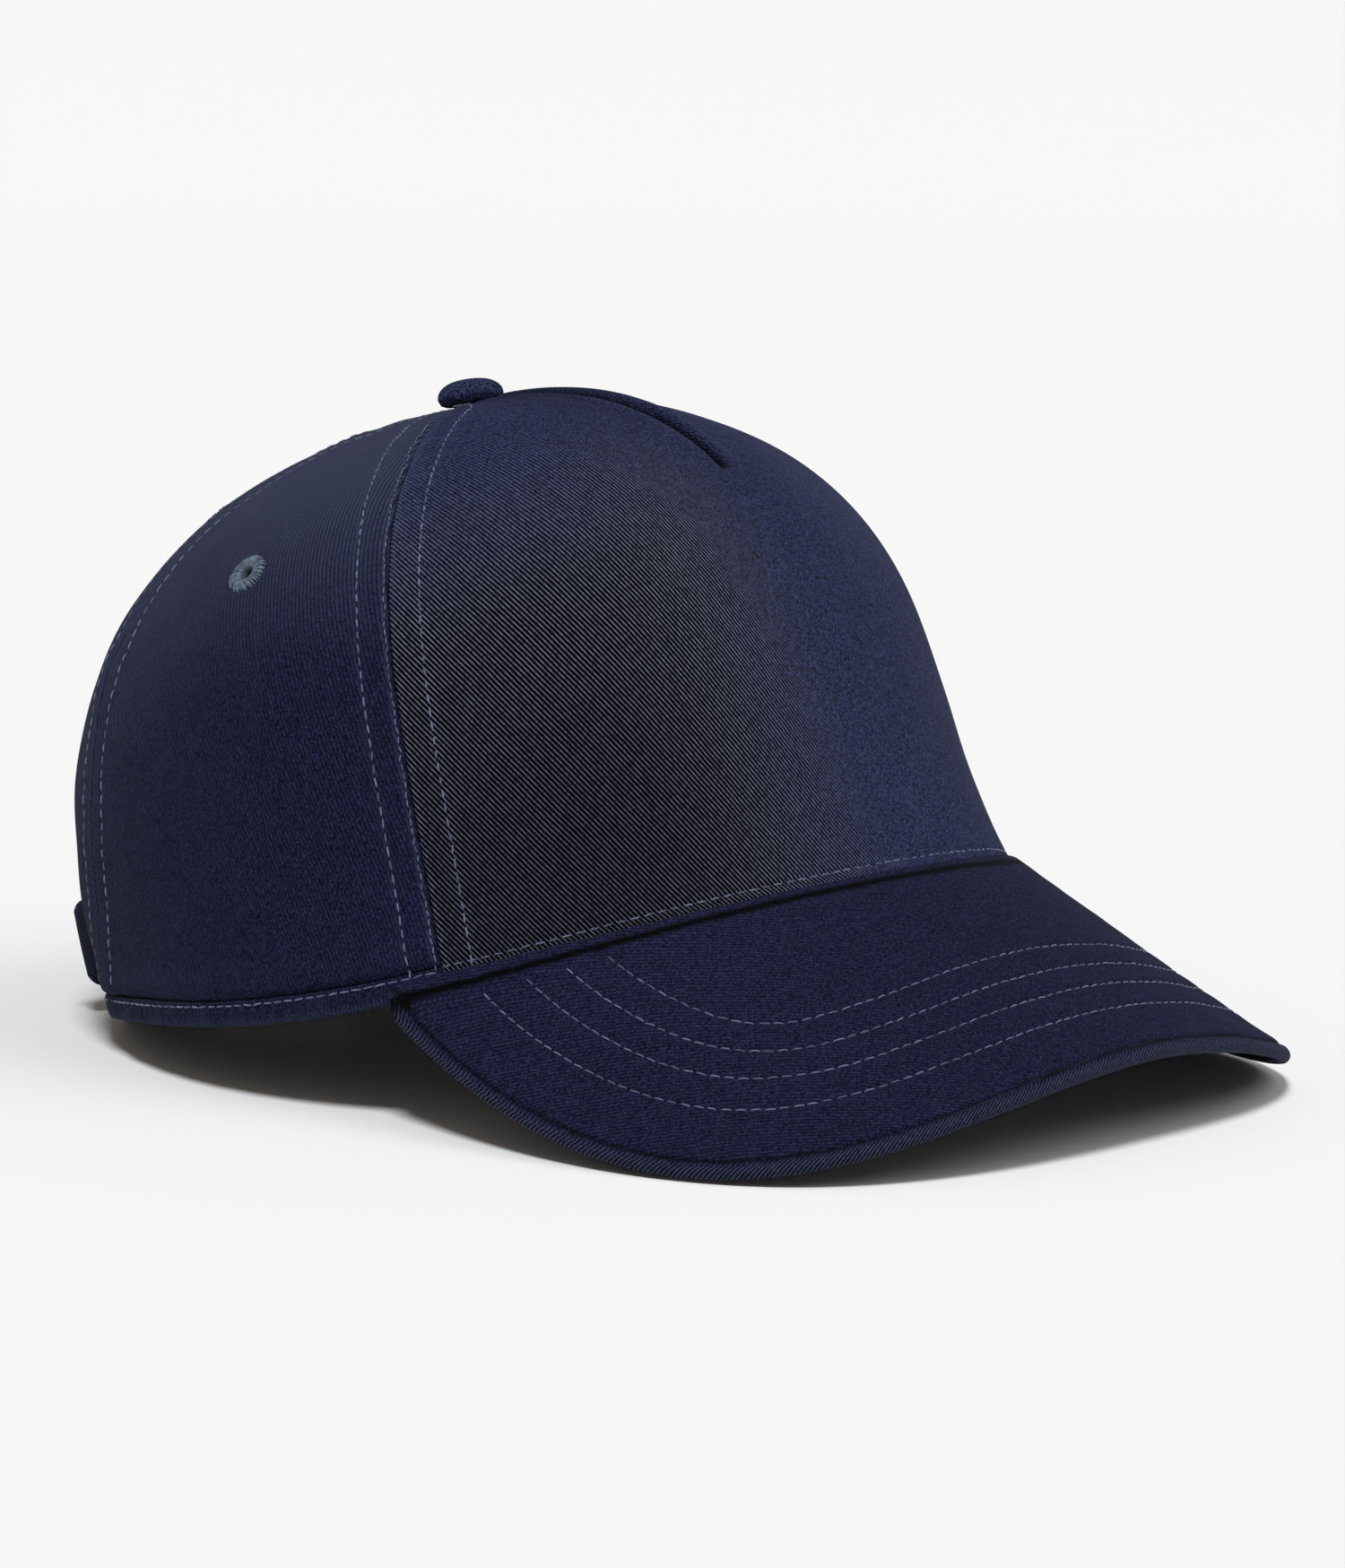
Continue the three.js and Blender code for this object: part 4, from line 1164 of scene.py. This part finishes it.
maker_label = strip("maker_label_weave", label_place((13, -13), (57, 77), TAPE_DEPTH + TAPE + 2 * GAP + 0.4),
                    (38, 20), (40, 20), 0.4, LABEL)
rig.slot(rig.replaces(maker_label, "maker_label"), "label")
care_label = strip("care_label_weave",
                   label_place((60, 74), (8, 38), BAND_DEPTH + BAND_THICKNESS + GAP + 1.2),
                   (22, 30), (30, 30), 0.3, LABEL)
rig.slot(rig.replaces(care_label, "care_label"), "label")


# ---------------------------------------------------------------- straps
UNDER_TAPE = ARCH_TAPE_DEPTH + TAPE + GAP
STACK = 2 * PATCH_THICKNESS + 3 * GAP


def hook_offset(back):
    """Inner face of the outer strap: from inside the left back panel to outside the right one."""
    curl = 4.5 * np.clip((-21 - back) / 10.5, 0, 1) ** 1.5
    return curl + lerp(GAP + 0.5, -UNDER_TAPE - STRAP_THICKNESS, smooth(back, -22.5, 20.8))


def loop_offset(back):
    return np.minimum(-UNDER_TAPE - 0.1, hook_offset(back) - STACK - 0.7)


def make_strap(name, span, place_offset, thickness, material, heights, end=0.0):
    """A strap along the back of the crown, and its place(); end is the radius of its last corners."""
    length, width = abs(span[1] - span[0]) * STRAP_PER_DEGREE, heights[1] - heights[0]

    def place(u, v, offset):
        back = lerp(*span, u)
        turn = math.pi - np.radians(back)
        cut = np.clip(1 - (1 - u) * length / max(end, 1e-6), 0, 1)
        narrow = end * (1 - np.sqrt(1 - cut ** 2))
        height = lerp(heights[0] + narrow, heights[1] - narrow, v) + 2.0 * smooth(-back, 6, 32)
        sway = 0.10 * ripple(back * 1.7, height, 13, 91) * smooth(STRAP_LOW + 20 - abs(back), 0, 1)
        return under(turn, rise_at_height(turn, height), place_offset(back) + offset + sway)

    piece = strip(name, place, (length, width), (200, 26), thickness, material, wear_and_painted_light=0.5, body=None)
    return piece, place


def strap_rows(place):
    """The stitch rows on a strap's outer face."""
    rows = []
    for u0, u1, v0, v1 in EDGE_LINES:
        u, v = np.linspace(u0, u1, 400), np.linspace(v0, v1, 400)
        path = place(u, v, 0 * u + STRAP_THICKNESS)
        toward = place(u, v, 0 * u + STRAP_THICKNESS + 0.3) - path
        rows.append((path, unit(toward)))
    return rows


def bend_points(bends):
    at = []
    for back in bends:
        turn = math.pi - math.radians(back)
        rise = rise_at_height(turn, np.array((STRAP_LOW + STRAP_HIGH) / 2))
        at.append(to_row(crown_point(turn, rise)))
    return at


PATCH_EDGES = (STRAP_LOW + 1.5, STRAP_HIGH - 1.5)
# each stitch row's first and last share along the strap, then across it
EDGE_LINES = ((0.01, 0.985, 0.09, 0.09), (0.01, 0.985, 0.91, 0.91), (0.985, 0.985, 0.11, 0.89))
hook_strap, hook_place = make_strap("hook_strap_cloth", HOOK_STRAP, hook_offset, STRAP_THICKNESS,
                                    NAVY_TAPE, (STRAP_LOW, STRAP_HIGH), STRAP_CORNER)
loop_strap, loop_place = make_strap("loop_strap_cloth", LOOP_STRAP[::-1],
                                    lambda back: loop_offset(back) - STRAP_THICKNESS,
                                    STRAP_THICKNESS, NAVY_TAPE, (STRAP_LOW, STRAP_HIGH), STRAP_CORNER)
straps = {}
for body, strap, place, bends in (("hook_strap", hook_strap, hook_place, HOOK_BEND),
                                  ("loop_strap", loop_strap, loop_place, LOOP_BEND)):
    straps[body] = [strap, sew(f"{body}_stitching", strap_rows(place), THREAD, body=None)], bends
for body, (parts, bends) in straps.items():
    for part in parts:
        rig.blend(part, "crown", body, *bend_points(bends))
    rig.slot(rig.replaces(parts[0], body, f"{body}_root"), "seam_tape")
hook_patch, _ = make_strap("hook_patch_hooks", PATCH_SPAN,
                           lambda back: hook_offset(back) - GAP - PATCH_THICKNESS,
                           PATCH_THICKNESS, HOOKS, PATCH_EDGES)
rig.slot(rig.replaces(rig.ride(hook_patch, "hook_strap"), "hook_patch"), "hook_tape")
loop_patch, _ = make_strap("loop_patch_loops", PATCH_SPAN, lambda back: loop_offset(back) + GAP,
                           PATCH_THICKNESS, LOOPS, PATCH_EDGES)
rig.slot(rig.replaces(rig.ride(loop_patch, "loop_strap"), "loop_patch"), "loop_tape")


# ---------------------------------------------------------------- hem binding
def binding_section():
    """Offset through the cloth and height over the hem round the folded edge."""
    angle = np.linspace(0, 2 * math.pi, 36, endpoint=False)
    def squared(x, power):
        return np.sign(x) * np.abs(x) ** power
    half = (CLOTH + 2 * HEM_PROUD) / 2
    return half * squared(np.cos(angle), 0.55) - CLOTH / 2, HEM_HEIGHT / 2 * (1 + squared(np.sin(angle), 0.5))


def make_binding(word, side):
    start, end = math.radians(FRONT_SEAM + 0.2), math.radians(180 - ARCH_HALF)
    turn = side * np.linspace(start, end, 420)[:, None]
    out, height = (a[None] for a in binding_section())
    along = np.abs(turn) * HEM_PER_TURN
    swell = 0.14 * ripple(along, height, 9, 81) + 0.10 * ripple(along, height, 3.2, 82)
    seam_swell = 0.3 * bump((np.abs(turn) - math.radians(REAR_SEAM)) * 90, 5)
    outside = smooth(out, -CLOTH / 2 - 0.2, HEM_PROUD)
    groove = 0.12 * bump(height - HEM_HEIGHT + 0.95, 0.4) * outside
    taper = smooth(end - np.abs(turn), 0, 0.012) ** 0.5 * 0.999 + 0.001
    middle = -CLOTH / 2
    out = middle + (out + (swell + seam_swell) * outside - groove - middle) * taper
    point = above_table(crown_point(turn, rise_at_height(turn, height))
                        + crown_normal(turn, 0 * turn + 0.02) * (out * np.ones_like(turn))[..., None])
    rings, sides = point.shape[:2]
    ends = [np.arange(sides)[::-1], (rings - 1) * sides + np.arange(sides)]
    faces = [list(face)[::-side] for face in [*loop_faces(rings, sides), *ends]]
    run = np.arange(sides) / sides * 11.5
    weave = weave_at(along * np.ones((1, sides)), run[None] * np.ones_like(along), -84)
    wear_and_painted_light = 0.45 * bump(height - 0.3, 0.9) * outside * np.ones_like(turn)
    piece = add_mesh(f"{word}_hem_binding_cloth", point.reshape(-1, 3), faces, NAVY_SHADED, weave, wear_and_painted_light=wear_and_painted_light)
    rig.slot(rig.replaces(piece, f"{word}_hem_binding"), "navy_twill")
    row_turn = side * np.linspace(start + 0.01, end - 0.02, 500)
    row = crown_point(row_turn, rise_at_height(row_turn, 0 * row_turn + HEM_HEIGHT - 0.95))
    normal = crown_normal(row_turn, 0 * row_turn + 0.02)
    return piece, (row + normal * (HEM_PROUD + 0.02), normal)


crown_rows = []
bindings = {}
for word, side in SIDES.items():
    bindings[word], row = make_binding(word, side)
    crown_rows.append(row)


# ---------------------------------------------------------------- stitches of the crown
def outer_row(turn, rise, lift=0.0):
    return outer(turn, rise, lift), crown_normal(turn, rise)


for name, line in SEAMS.items():
    low = 0.03 if "front" in name else 0.055
    if "back" in name:
        low = float(rise_at_height(math.pi, ARCH_HEIGHT + 0.8))
    for side in (-1, 1):
        if "back" in name and side == np.sign(line(0.0)):
            continue
        rise = np.linspace(low, 0.992, 500)
        radius = radius_at(line(rise), rise)
        rise = rise[radius > 7.4]
        radius = radius_at(line(rise), rise)
        crown_rows.append(outer_row(line(rise) + side * row_offset(radius) / radius, rise))
turn = np.linspace(SEAMS["right_front"](0.0), SEAMS["left_front"](0.0), 700)
crown_rows.append(outer_row(turn, rise_at_height(turn, 0 * turn + FRONT_ROW)))
for grow in (2.4, 7.6):
    turn, height = arch_line(np.linspace(0.04, math.pi - 0.04, 900), grow)
    crown_rows.append(outer_row(turn, rise_at_height(turn, height)))
crown_stitching = sew("crown_stitching", crown_rows, THREAD, sink=0.16)
seam_rows = []
for name in ("right_front", "left_front"):
    line = SEAMS[name]
    rise = np.linspace(0.006, 0.9, 900)
    radius = radius_at(line(rise), rise)
    wander = 0.16 * ripple(rise * 130, 0 * rise, 3, 95)
    at = line(rise) + np.sign(line(0.0)) * (0.62 + wander) / radius
    seam_rows.append(outer_row(at, rise, 0.1))
seam_thread = sew("seam_thread", seam_rows, THREAD, radius=0.14, length=1.3, gap=0.5, sink=-0.1)
inner_stitching = sew("inner_stitching", inner_rows, THREAD, radius=0.16, rise=0.12)


# ---------------------------------------------------------------- eyelets
def make_eyelet(word, spot):
    """Satin stitches: loops of thread that wrap the cloth all round a small hole."""
    turn, rise = np.radians(spot[0]), np.array(spot[1])
    normal = crown_normal(turn, rise)
    centre = crown_point(turn, rise) + normal * (float(relief(turn, rise)) - CLOTH / 2)
    east = unit(np.cross([0, 0, 1], normal))
    north = np.cross(normal, east)
    steps, sides = 20, 6
    loop, ring = circle(steps), circle(sides)
    points, weave, wear_and_painted_light = [], [], []
    local = np.random.default_rng(abs(int(spot[0])))
    for layer, (inner, reach, half) in enumerate(((EYELET_HOLE + 0.35, EYELET_OUTER - 0.5, 0.6),
                                                  (EYELET_HOLE + 0.2, EYELET_OUTER - 0.1, 0.95))):
        for i in range(EYELET_STITCHES):
            angle = 2 * math.pi * (i + 0.5 * layer) / EYELET_STITCHES + local.normal(0, 0.035)
            slant = local.normal(0.16, 0.06)
            far = reach + local.normal(0, 0.10)
            middle, span = (inner + far) / 2, (far - inner) / 2
            r = middle - span * np.cos(loop)
            up = (CLOTH / 2 - 0.1 + half * local.normal(1, 0.08)) * np.sin(loop)
            up = np.sign(up) * np.abs(up) ** 0.85
            at = angle + slant * (r - inner) / 3
            out = np.stack([np.cos(at), np.sin(at)], -1)
            line = centre + (r * out[:, 0])[:, None] * east + (r * out[:, 1])[:, None] * north \
                + up[:, None] * normal
            along = unit(np.roll(line, -1, 0) - np.roll(line, 1, 0))
            core = centre + middle * (np.cos(angle) * east + np.sin(angle) * north)
            side = np.cross(along, unit(line - core))
            above = np.cross(side, along)
            thick = 0.17 + 0.05 * (r - inner) / (far - inner)
            tube = line[:, None] + thick[:, None, None] * (
                np.cos(ring)[None, :, None] * side[:, None] + np.sin(ring)[None, :, None] * above[:, None])
            points.append(tube.reshape(-1, 3))
            grid = np.stack(np.broadcast_arrays(ring[None] / 6.28, loop[:, None]), -1)
            weave.append(grid.reshape(-1, 2))
            wear_and_painted_light.append(np.full(steps * sides, local.uniform()))
    faces = copies(loop_faces(steps, sides, closed=True), len(points), steps * sides)
    piece = add_mesh(f"{word}_eyelet_thread", np.concatenate(points), faces, EYELET,
                     np.concatenate(weave), wear_and_painted_light=np.concatenate(wear_and_painted_light))
    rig.slot(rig.replaces(piece, f"{word}_eyelet"), "eyelet_thread")


for word, spot in EYELETS.items():
    make_eyelet(word, spot)


# ---------------------------------------------------------------- top button
def on_top(p):
    """Places a point made along +Z on the button's axis."""
    c, s = math.cos(BUTTON_LEAN), math.sin(BUTTON_LEAN)
    x, y, z = np.moveaxis(p, -1, 0)
    return crown_point(0.0, np.array(1.0)) + np.stack([x, y * c - z * s, y * s + z * c], -1)


def turned(name, radius, height, material, around=120, weave_scale=1.0, wear_and_painted_light=None):
    """A turned piece: radius and height are rows x around, or one row each, closed on themselves."""
    angle = circle(around)
    radius, height = (np.broadcast_to(np.asarray(a)[..., None] if np.ndim(a) == 1 else a,
                                      (len(a), around)) for a in (radius, height))
    points = on_top(np.stack([radius * np.sin(angle), -radius * np.cos(angle), height], -1))
    weave = weave_at(radius * np.sin(angle) * weave_scale, radius * np.cos(angle) * weave_scale, -50)
    return add_mesh(name, points.reshape(-1, 3), loop_faces(len(radius), around, closed=True)[:, ::-1],
                    material, weave, wear_and_painted_light=wear_and_painted_light)


def make_button():
    around = 240
    angle = circle(around)
    local = np.random.default_rng(12)
    wander = local.normal(0, 0.12, around).cumsum() * 0.3
    gathers = np.cos(BUTTON_GATHERS * angle + 1.3 * np.sin(3 * angle + 1) + wander)
    rim, wall = GAP + 1.6, 0.7
    lift = np.linspace(0, math.pi / 2, 30)
    r = np.concatenate([[BUTTON_RADIUS - 2.6, BUTTON_RADIUS - 1.3, BUTTON_RADIUS - 0.45],
                        BUTTON_RADIUS * np.cos(lift[:-1]) ** 0.8, [0.02]])
    h = np.concatenate([[rim - 1.35, rim - 1.5, rim - 1.1],
                        rim + (BUTTON_HEIGHT - 1.6) * np.sin(lift[:-1]) ** 0.85, [rim + BUTTON_HEIGHT - 1.6]])
    fold = bump((h - rim - 0.4) / 1.9, 1.0) * smooth(r, 1.0, 4.5)
    depth = 0.17 * fold[:, None] * gathers[None]
    radius = r[:, None] + depth
    height = h[:, None] + 0.3 * depth
    inner_r = np.maximum(r[::-1] - wall, 0.01)
    inner_h = np.maximum(h[::-1] - wall * smooth(h[::-1], rim - 1, rim + 1), rim - 1.0)
    radius = np.concatenate([radius, np.repeat(inner_r[:, None], around, 1)])
    height = np.concatenate([height, np.repeat(inner_h[:, None], around, 1)])
    wear_and_painted_light = np.zeros_like(radius)
    wear_and_painted_light[:len(r)] = (0.5 * smooth(r, 3.5, 6.2) * bump(h - rim - 1.4, 1.6))[:, None] * (0.5 + 0.5 * gathers)
    button = turned("button_cloth", radius, height, NAVY, around, 1.25, wear_and_painted_light)
    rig.slot(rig.replaces(button, "button_cover"), "navy_twill")
    hole, edge = 1.9 + GAP, 6.2
    washer_radius = np.array([hole, edge - 0.3, edge, edge - 0.1, edge - 0.5, hole, hole])
    washer_height = np.array([-4.6, -4.6, -4.35, -3.9, -3.6, -3.6, -4.1])
    washer = turned("button_washer_plate", washer_radius, washer_height, METAL)
    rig.slot(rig.replaces(washer, "button_washer"), "rivet_metal")


make_button()


# ---------------------------------------------------------------- visor
EDGE_RADIUS = VISOR_THICKNESS / 2
EDGE_MIDDLE = VISOR_TOP - EDGE_RADIUS
ROOT_IN = -0.6        # the cloth runs on under the crown's lower edge
VISOR_COLUMNS = 340
VISOR_GRAIN = -45


def root_line(count):
    turn = np.linspace(-CORNER_TURN, CORNER_TURN, count)
    return flat(*visor_place(off_crown(turn, 0 * turn, ROOT_IN)))


def rim_and_root(columns):
    """The rim and the root at as many places, how far apart they are, and the edge's size there."""
    rim, root = even(RIM_LINE, columns), root_line(columns)
    span = np.linalg.norm(rim - root, axis=-1)
    return rim, root, span, np.clip(span / FULL_EDGE, 0.12, 1)


def partway(start, end, span, reach):
    """Points reach mm along the way from start to end, which are span apart."""
    return start + (end - start) * (reach / np.maximum(span, 1e-9))[..., None]


def fullness(size):
    """The visor thins out towards its two corners."""
    return lerp(0.55, 1, smooth(size, 0.1, 1))


def visor_cloth(name, node, face, first, last, edge):
    """A cover: from the crown to the rim, then round the rolled edge from angle first to last."""
    rim, root, span, size = rim_and_root(VISOR_COLUMNS)
    v = np.linspace(0, 1, 112)
    roll = np.linspace(0, 1, 15)
    curve = np.radians(np.linspace(first, last, len(roll)))[1:]
    fronts, backs = [], []
    flat_end = edge * size
    for share in v:         # the flat part, from the root to where the edge begins to roll
        reach = np.maximum(span - flat_end, 0) * share
        at = partway(root, rim, span, reach)
        fronts.append((at, face * edge + EDGE_MIDDLE + 0 * reach))
        backs.append((at, face * (edge - COVER) + EDGE_MIDDLE + 0 * reach))
    for angle in curve:     # the rolled edge
        for rows, r in ((fronts, edge), (backs, edge - COVER)):
            into = (edge - r * math.cos(angle)) * size
            at = partway(rim, root, span, into)
            rows.append((at, EDGE_MIDDLE + r * math.sin(angle) + 0 * into))
    out = []
    for rows in (fronts, backs):
        p = np.stack([a for a, _ in rows])
        offset = np.stack([o for _, o in rows])
        thin = EDGE_MIDDLE + (offset - EDGE_MIDDLE) * fullness(size)[None]
        out.append((p, visor_at(p, thin, face=face)))
    p = out[0][0]
    from_rim = inside_rim(p)
    run = edge * abs(math.radians(last - first)) * roll[1:]
    beyond = np.concatenate([np.zeros(len(v)), run])[:, None]
    weave = weave_at(p[..., 0], p[..., 1], VISOR_GRAIN)
    arc = np.arange(VISOR_COLUMNS) * np.linalg.norm(rim[1] - rim[0])
    round_edge = weave_at(arc + 0 * beyond, beyond - from_rim, 52)
    weave = np.where((from_rim < 2.7)[..., None], round_edge, weave)
    # a little paler at the rim from wear, painted highlights on the rib crests along the rim, and painted shade in the
    # groove inside the rolled edge and where the visor meets the crown
    at_rim = bump(from_rim - 0.3, 1.5)
    from_crown = p[..., 1] - root_mismatch(unroll(p)[0])[1]
    wear_and_painted_light = 0.15 * at_rim - 0.6 * bump(from_rim - 2.8, 0.6) - 0.97 * bump(from_crown, 1.0)
    a, b = out[0][1], out[1][1]
    if face > 0:
        a, b, weave, wear_and_painted_light, at_rim = (g[:, ::-1] for g in (a, b, weave, wear_and_painted_light, at_rim))
    piece = slab(name, a, b, NAVY_VISOR_SHADED, weave, wear_and_painted_light=wear_and_painted_light, rib_highlights=0.32 * at_rim)
    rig.slot(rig.replaces(piece, node), "navy_twill")
    return piece


visor_top = visor_cloth("visor_top_cloth", "visor_top_cover", 1, 90, -44, EDGE_RADIUS)
visor_under = visor_cloth("visor_under_cloth", "visor_under_cover", -1, -90, -25, EDGE_RADIUS - 0.08)


def make_board():
    """The plastic board between the two covers, gap from each and inset from the rim."""
    columns, gap, inset = 200, 0.25, 2.2
    rim, root, span, size = rim_and_root(columns)
    reach = np.maximum(span - inset * size, 0) * np.linspace(0, 1, 60)[:, None]
    at = partway(root, rim, span, reach)
    half = (EDGE_RADIUS - COVER - gap) * fullness(size)
    faces = [visor_at(at, EDGE_MIDDLE + side * half + 0 * reach, face=side)[:, ::-1] for side in (1, -1)]
    weave = weave_at(at[..., 0], at[..., 1], VISOR_GRAIN)[:, ::-1]
    piece = slab("visor_board_plate", *faces, BOARD, weave)
    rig.slot(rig.replaces(piece, "visor_board"), "visor_board")


make_board()


def visor_row(inward, face):
    """A stitch row parallel to the rim, up to where it meets the crown."""
    step = np.gradient(RIM_LINE, axis=0)
    across = unit(np.stack([-step[:, 1], step[:, 0]], -1))
    middle = len(RIM_LINE) // 2
    if across[middle, 1] > 0:
        across = -across
    line = RIM_LINE + across * inward
    bend, ahead = unroll(line)
    clear = ahead > root_mismatch(bend)[1] + 2.5
    clear &= inside_rim(line) > inward - 0.3
    line = line[clear]
    offset = VISOR_TOP if face > 0 else VISOR_TOP - VISOR_THICKNESS
    points = visor_at(line, np.full(len(line), offset), face=face)
    return points, face * visor_normal(*unroll(line))


top_stitching = sew("visor_stitching", [visor_row(d, 1) for d in VISOR_ROWS], THREAD, radius=0.18, sink=0.05)
under_stitching = sew("visor_under_stitching", [visor_row(d, -1) for d in VISOR_ROWS], THREAD,
                      radius=0.17, rise=0.15)


# ---------------------------------------------------------------- what stays as in the CAD
rivet = bpy.data.objects["button_rivet"]
rivet.data.materials.clear()
rivet.data.materials.append(METAL)
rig.slot(rivet, "rivet_metal")


# ---------------------------------------------------------------- what is cloth, and how it was cut
# Flat sizes are measured along each piece on the modelled crown, in metres.
def sheet(piece, width, length, held, on, area=None, more=()):
    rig.sheet(piece, flat=(width, length), held=held, rests_on=on, area=area, with_pieces=more)


CROWN_PANELS = list(panels)
sheet(panels["front_panel"], 0.210, 0.172, "stretched", ["front_stiffener_weave"], 0.0225,
      [crown_stitching, seam_thread])
for word in SIDES:
    sheet(panels[f"{word}_side_panel"], 0.103, 0.165, "stretched", [f"{word}_rear_seam_tape_cloth"], 0.0108,
          [bindings[word]])
    sheet(panels[f"{word}_back_panel"], 0.090, 0.165, "stretched", [f"{word}_rear_seam_tape_cloth"], 0.0098)
sheet(visor_top, 0.206, 0.180, "stretched", ["visor_board_plate"], 0.0152, [top_stitching])
sheet(visor_under, 0.206, 0.180, "stretched", ["visor_board_plate"], 0.0145, [under_stitching])
sheet(stiffener, 0.200, 0.165, "stretched", ["front_cloth"], 0.0215)
sheet(band, 0.031, 0.480, "folded", CROWN_PANELS, None, [inner_stitching])
for word, length in (("right_front_seam", 0.142), ("left_front_seam", 0.142), ("right_rear_seam", 0.148),
                     ("left_rear_seam", 0.148), ("centre_back_seam", 0.105), ("dart", 0.069)):
    sheet(tapes[word], 0.013, length, "stretched", CROWN_PANELS)
sheet(opening_tape, 0.010, 0.150, "stretched", ["right_back_cloth", "left_back_cloth"], 0.00130)
sheet(maker_label, 0.020, 0.038, "laid", ["centre_back_seam_tape_cloth"])
sheet(care_label, 0.022, 0.030, "laid", ["sweatband_cloth"])
sheet(hook_strap, 0.018, 0.104, "stretched", ["left_back_cloth"], None, straps["hook_strap"][0][1:])
sheet(loop_strap, 0.018, 0.066, "stretched", ["right_back_cloth"], None, straps["loop_strap"][0][1:])
sheet(hook_patch, 0.015, 0.042, "laid", ["hook_strap_cloth"])
sheet(loop_patch, 0.015, 0.042, "laid", ["loop_strap_cloth"])


# ---------------------------------------------------------------- floor, light and camera
LAMPS = {       # azimuth, elevation, strength, spread, colour
    "key": (-53, 64, 2.28, 15, (1, 1.028, 1.055)),
    "side": (20, 50, 0.68, 45, (1, 1, 1)),
}
SKY = 0.205
FLOOR_WHITE = 0.90
FLOOR_LIGHT = 3.2     # what falls on the flat floor from all lights
VIEW_AZIMUTH, VIEW_ELEVATION = -48.41, 8.08
VIEW_ROLL = math.radians(-0.8)
VIEW_DISTANCE, VIEW_LENS = 1.0744, 122.4      # a long lens, on a 36 mm sensor along the long side
VIEW_TARGET = (0, -0.0063, 0.0564)


def direction(azimuth, elevation):
    """Unit vectors towards places given in degrees; azimuth 0 is the front, -Y."""
    a, e = np.radians(azimuth), np.radians(elevation)
    return np.stack([np.sin(a) * np.cos(e), -np.cos(a) * np.cos(e), np.sin(e) + 0 * a], -1)


def light_on(normal):
    """How much light falls on an open surface with that normal."""
    sky = SKY * math.pi * (0.5 + 0.5 * normal[..., 2])
    lamps = (v[2] * np.maximum(normal @ direction(v[0], v[1]), 0) for v in LAMPS.values())
    return sky + sum(lamps) + (0.5 - 0.5 * normal[..., 2]) * FLOOR_WHITE * FLOOR_LIGHT


def make_floor():
    """A pale sheet: flat round the cap and gently rising far away, toned so that it looks even."""
    flat_to, far, slope, around = 4.5, 15.5, math.radians(11), 96
    radius = np.concatenate([[0.001, flat_to], np.linspace(flat_to + 0.5, far, 24)])
    steepness = slope * smooth(radius, flat_to, flat_to + 3)
    height = np.concatenate([[0], np.cumsum(np.tan(steepness[1:]) * np.diff(radius))])
    azimuth = np.arange(around) * 360 / around
    out = direction(azimuth, 0 * azimuth)
    points = radius[:, None, None] * out[None] + np.array([0, 0, 1]) * height[:, None, None]
    normal = unit(np.array([0, 0, 1]) - out[None] * np.tan(steepness)[:, None, None])
    tone = FLOOR_WHITE * light_on(np.array([0, 0, 1.0])) / light_on(normal)
    mesh = bpy.data.meshes.new("floor")
    mesh.from_pydata(points.reshape(-1, 3), [], loop_faces(len(radius), around))
    mesh.polygons.foreach_set("use_smooth", np.ones(len(mesh.polygons), bool))
    tones = mesh.attributes.new("tone", "FLOAT", "POINT").data
    whitest = 0.98
    tones.foreach_set("value", np.minimum(tone, whitest).ravel().astype(np.float32))
    n = Nodes("pale_floor")
    grey = n.attribute("tone")
    mesh.materials.append(n.finish(n.join(grey, grey, grey), roughness=0.9, specular=0.0))
    floor = new_object("floor", mesh)
    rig.stage(floor)


def aimed(back, roll, at):
    """A matrix whose +Z looks along back, rolled about it."""
    back = np.asarray(back) / np.linalg.norm(back)
    right = np.cross([0, 0, 1], back)
    right = right / np.linalg.norm(right)
    up = np.cross(back, right)
    c, s = math.cos(roll), math.sin(roll)
    axes = [right * c - up * s, right * s + up * c, back]
    return Matrix([[*(axis[k] for axis in axes), at[k]] for k in range(3)] + [[0, 0, 0, 1]])


def sun(name, azimuth, elevation, strength, spread, colour):
    """A soft distant lamp in that direction."""
    lamp = bpy.data.lights.new(name, "SUN")
    lamp.energy, lamp.angle, lamp.color = strength, math.radians(spread), colour
    new_object(name, lamp).matrix_world = aimed(direction(azimuth, elevation), 0.0, (0, 0, 3))


def make_camera():
    back = direction(VIEW_AZIMUTH, VIEW_ELEVATION)
    data = bpy.data.cameras.new("camera")
    data.lens = VIEW_LENS
    data.clip_end = 200
    camera = new_object("camera", data)
    camera.matrix_world = aimed(back, VIEW_ROLL, np.array(VIEW_TARGET) + back * VIEW_DISTANCE)
    bpy.context.scene.camera = camera


make_floor()
make_camera()
for lamp_name, settings in LAMPS.items():
    sun(lamp_name, *settings)
world = bpy.data.worlds.new("studio")
world.use_nodes = True
world.node_tree.nodes["Background"].inputs[0].default_value = (1, 0.90, 0.79, 1)
world.node_tree.nodes["Background"].inputs[1].default_value = SKY
bpy.context.scene.world = world
bpy.context.scene.view_settings.view_transform = "Standard"

visual_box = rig.bounds()
with open("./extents.json", "w") as f:
    json.dump({"cad": [list(p) for p in cad_box], "visual": [list(p) for p in visual_box]}, f)
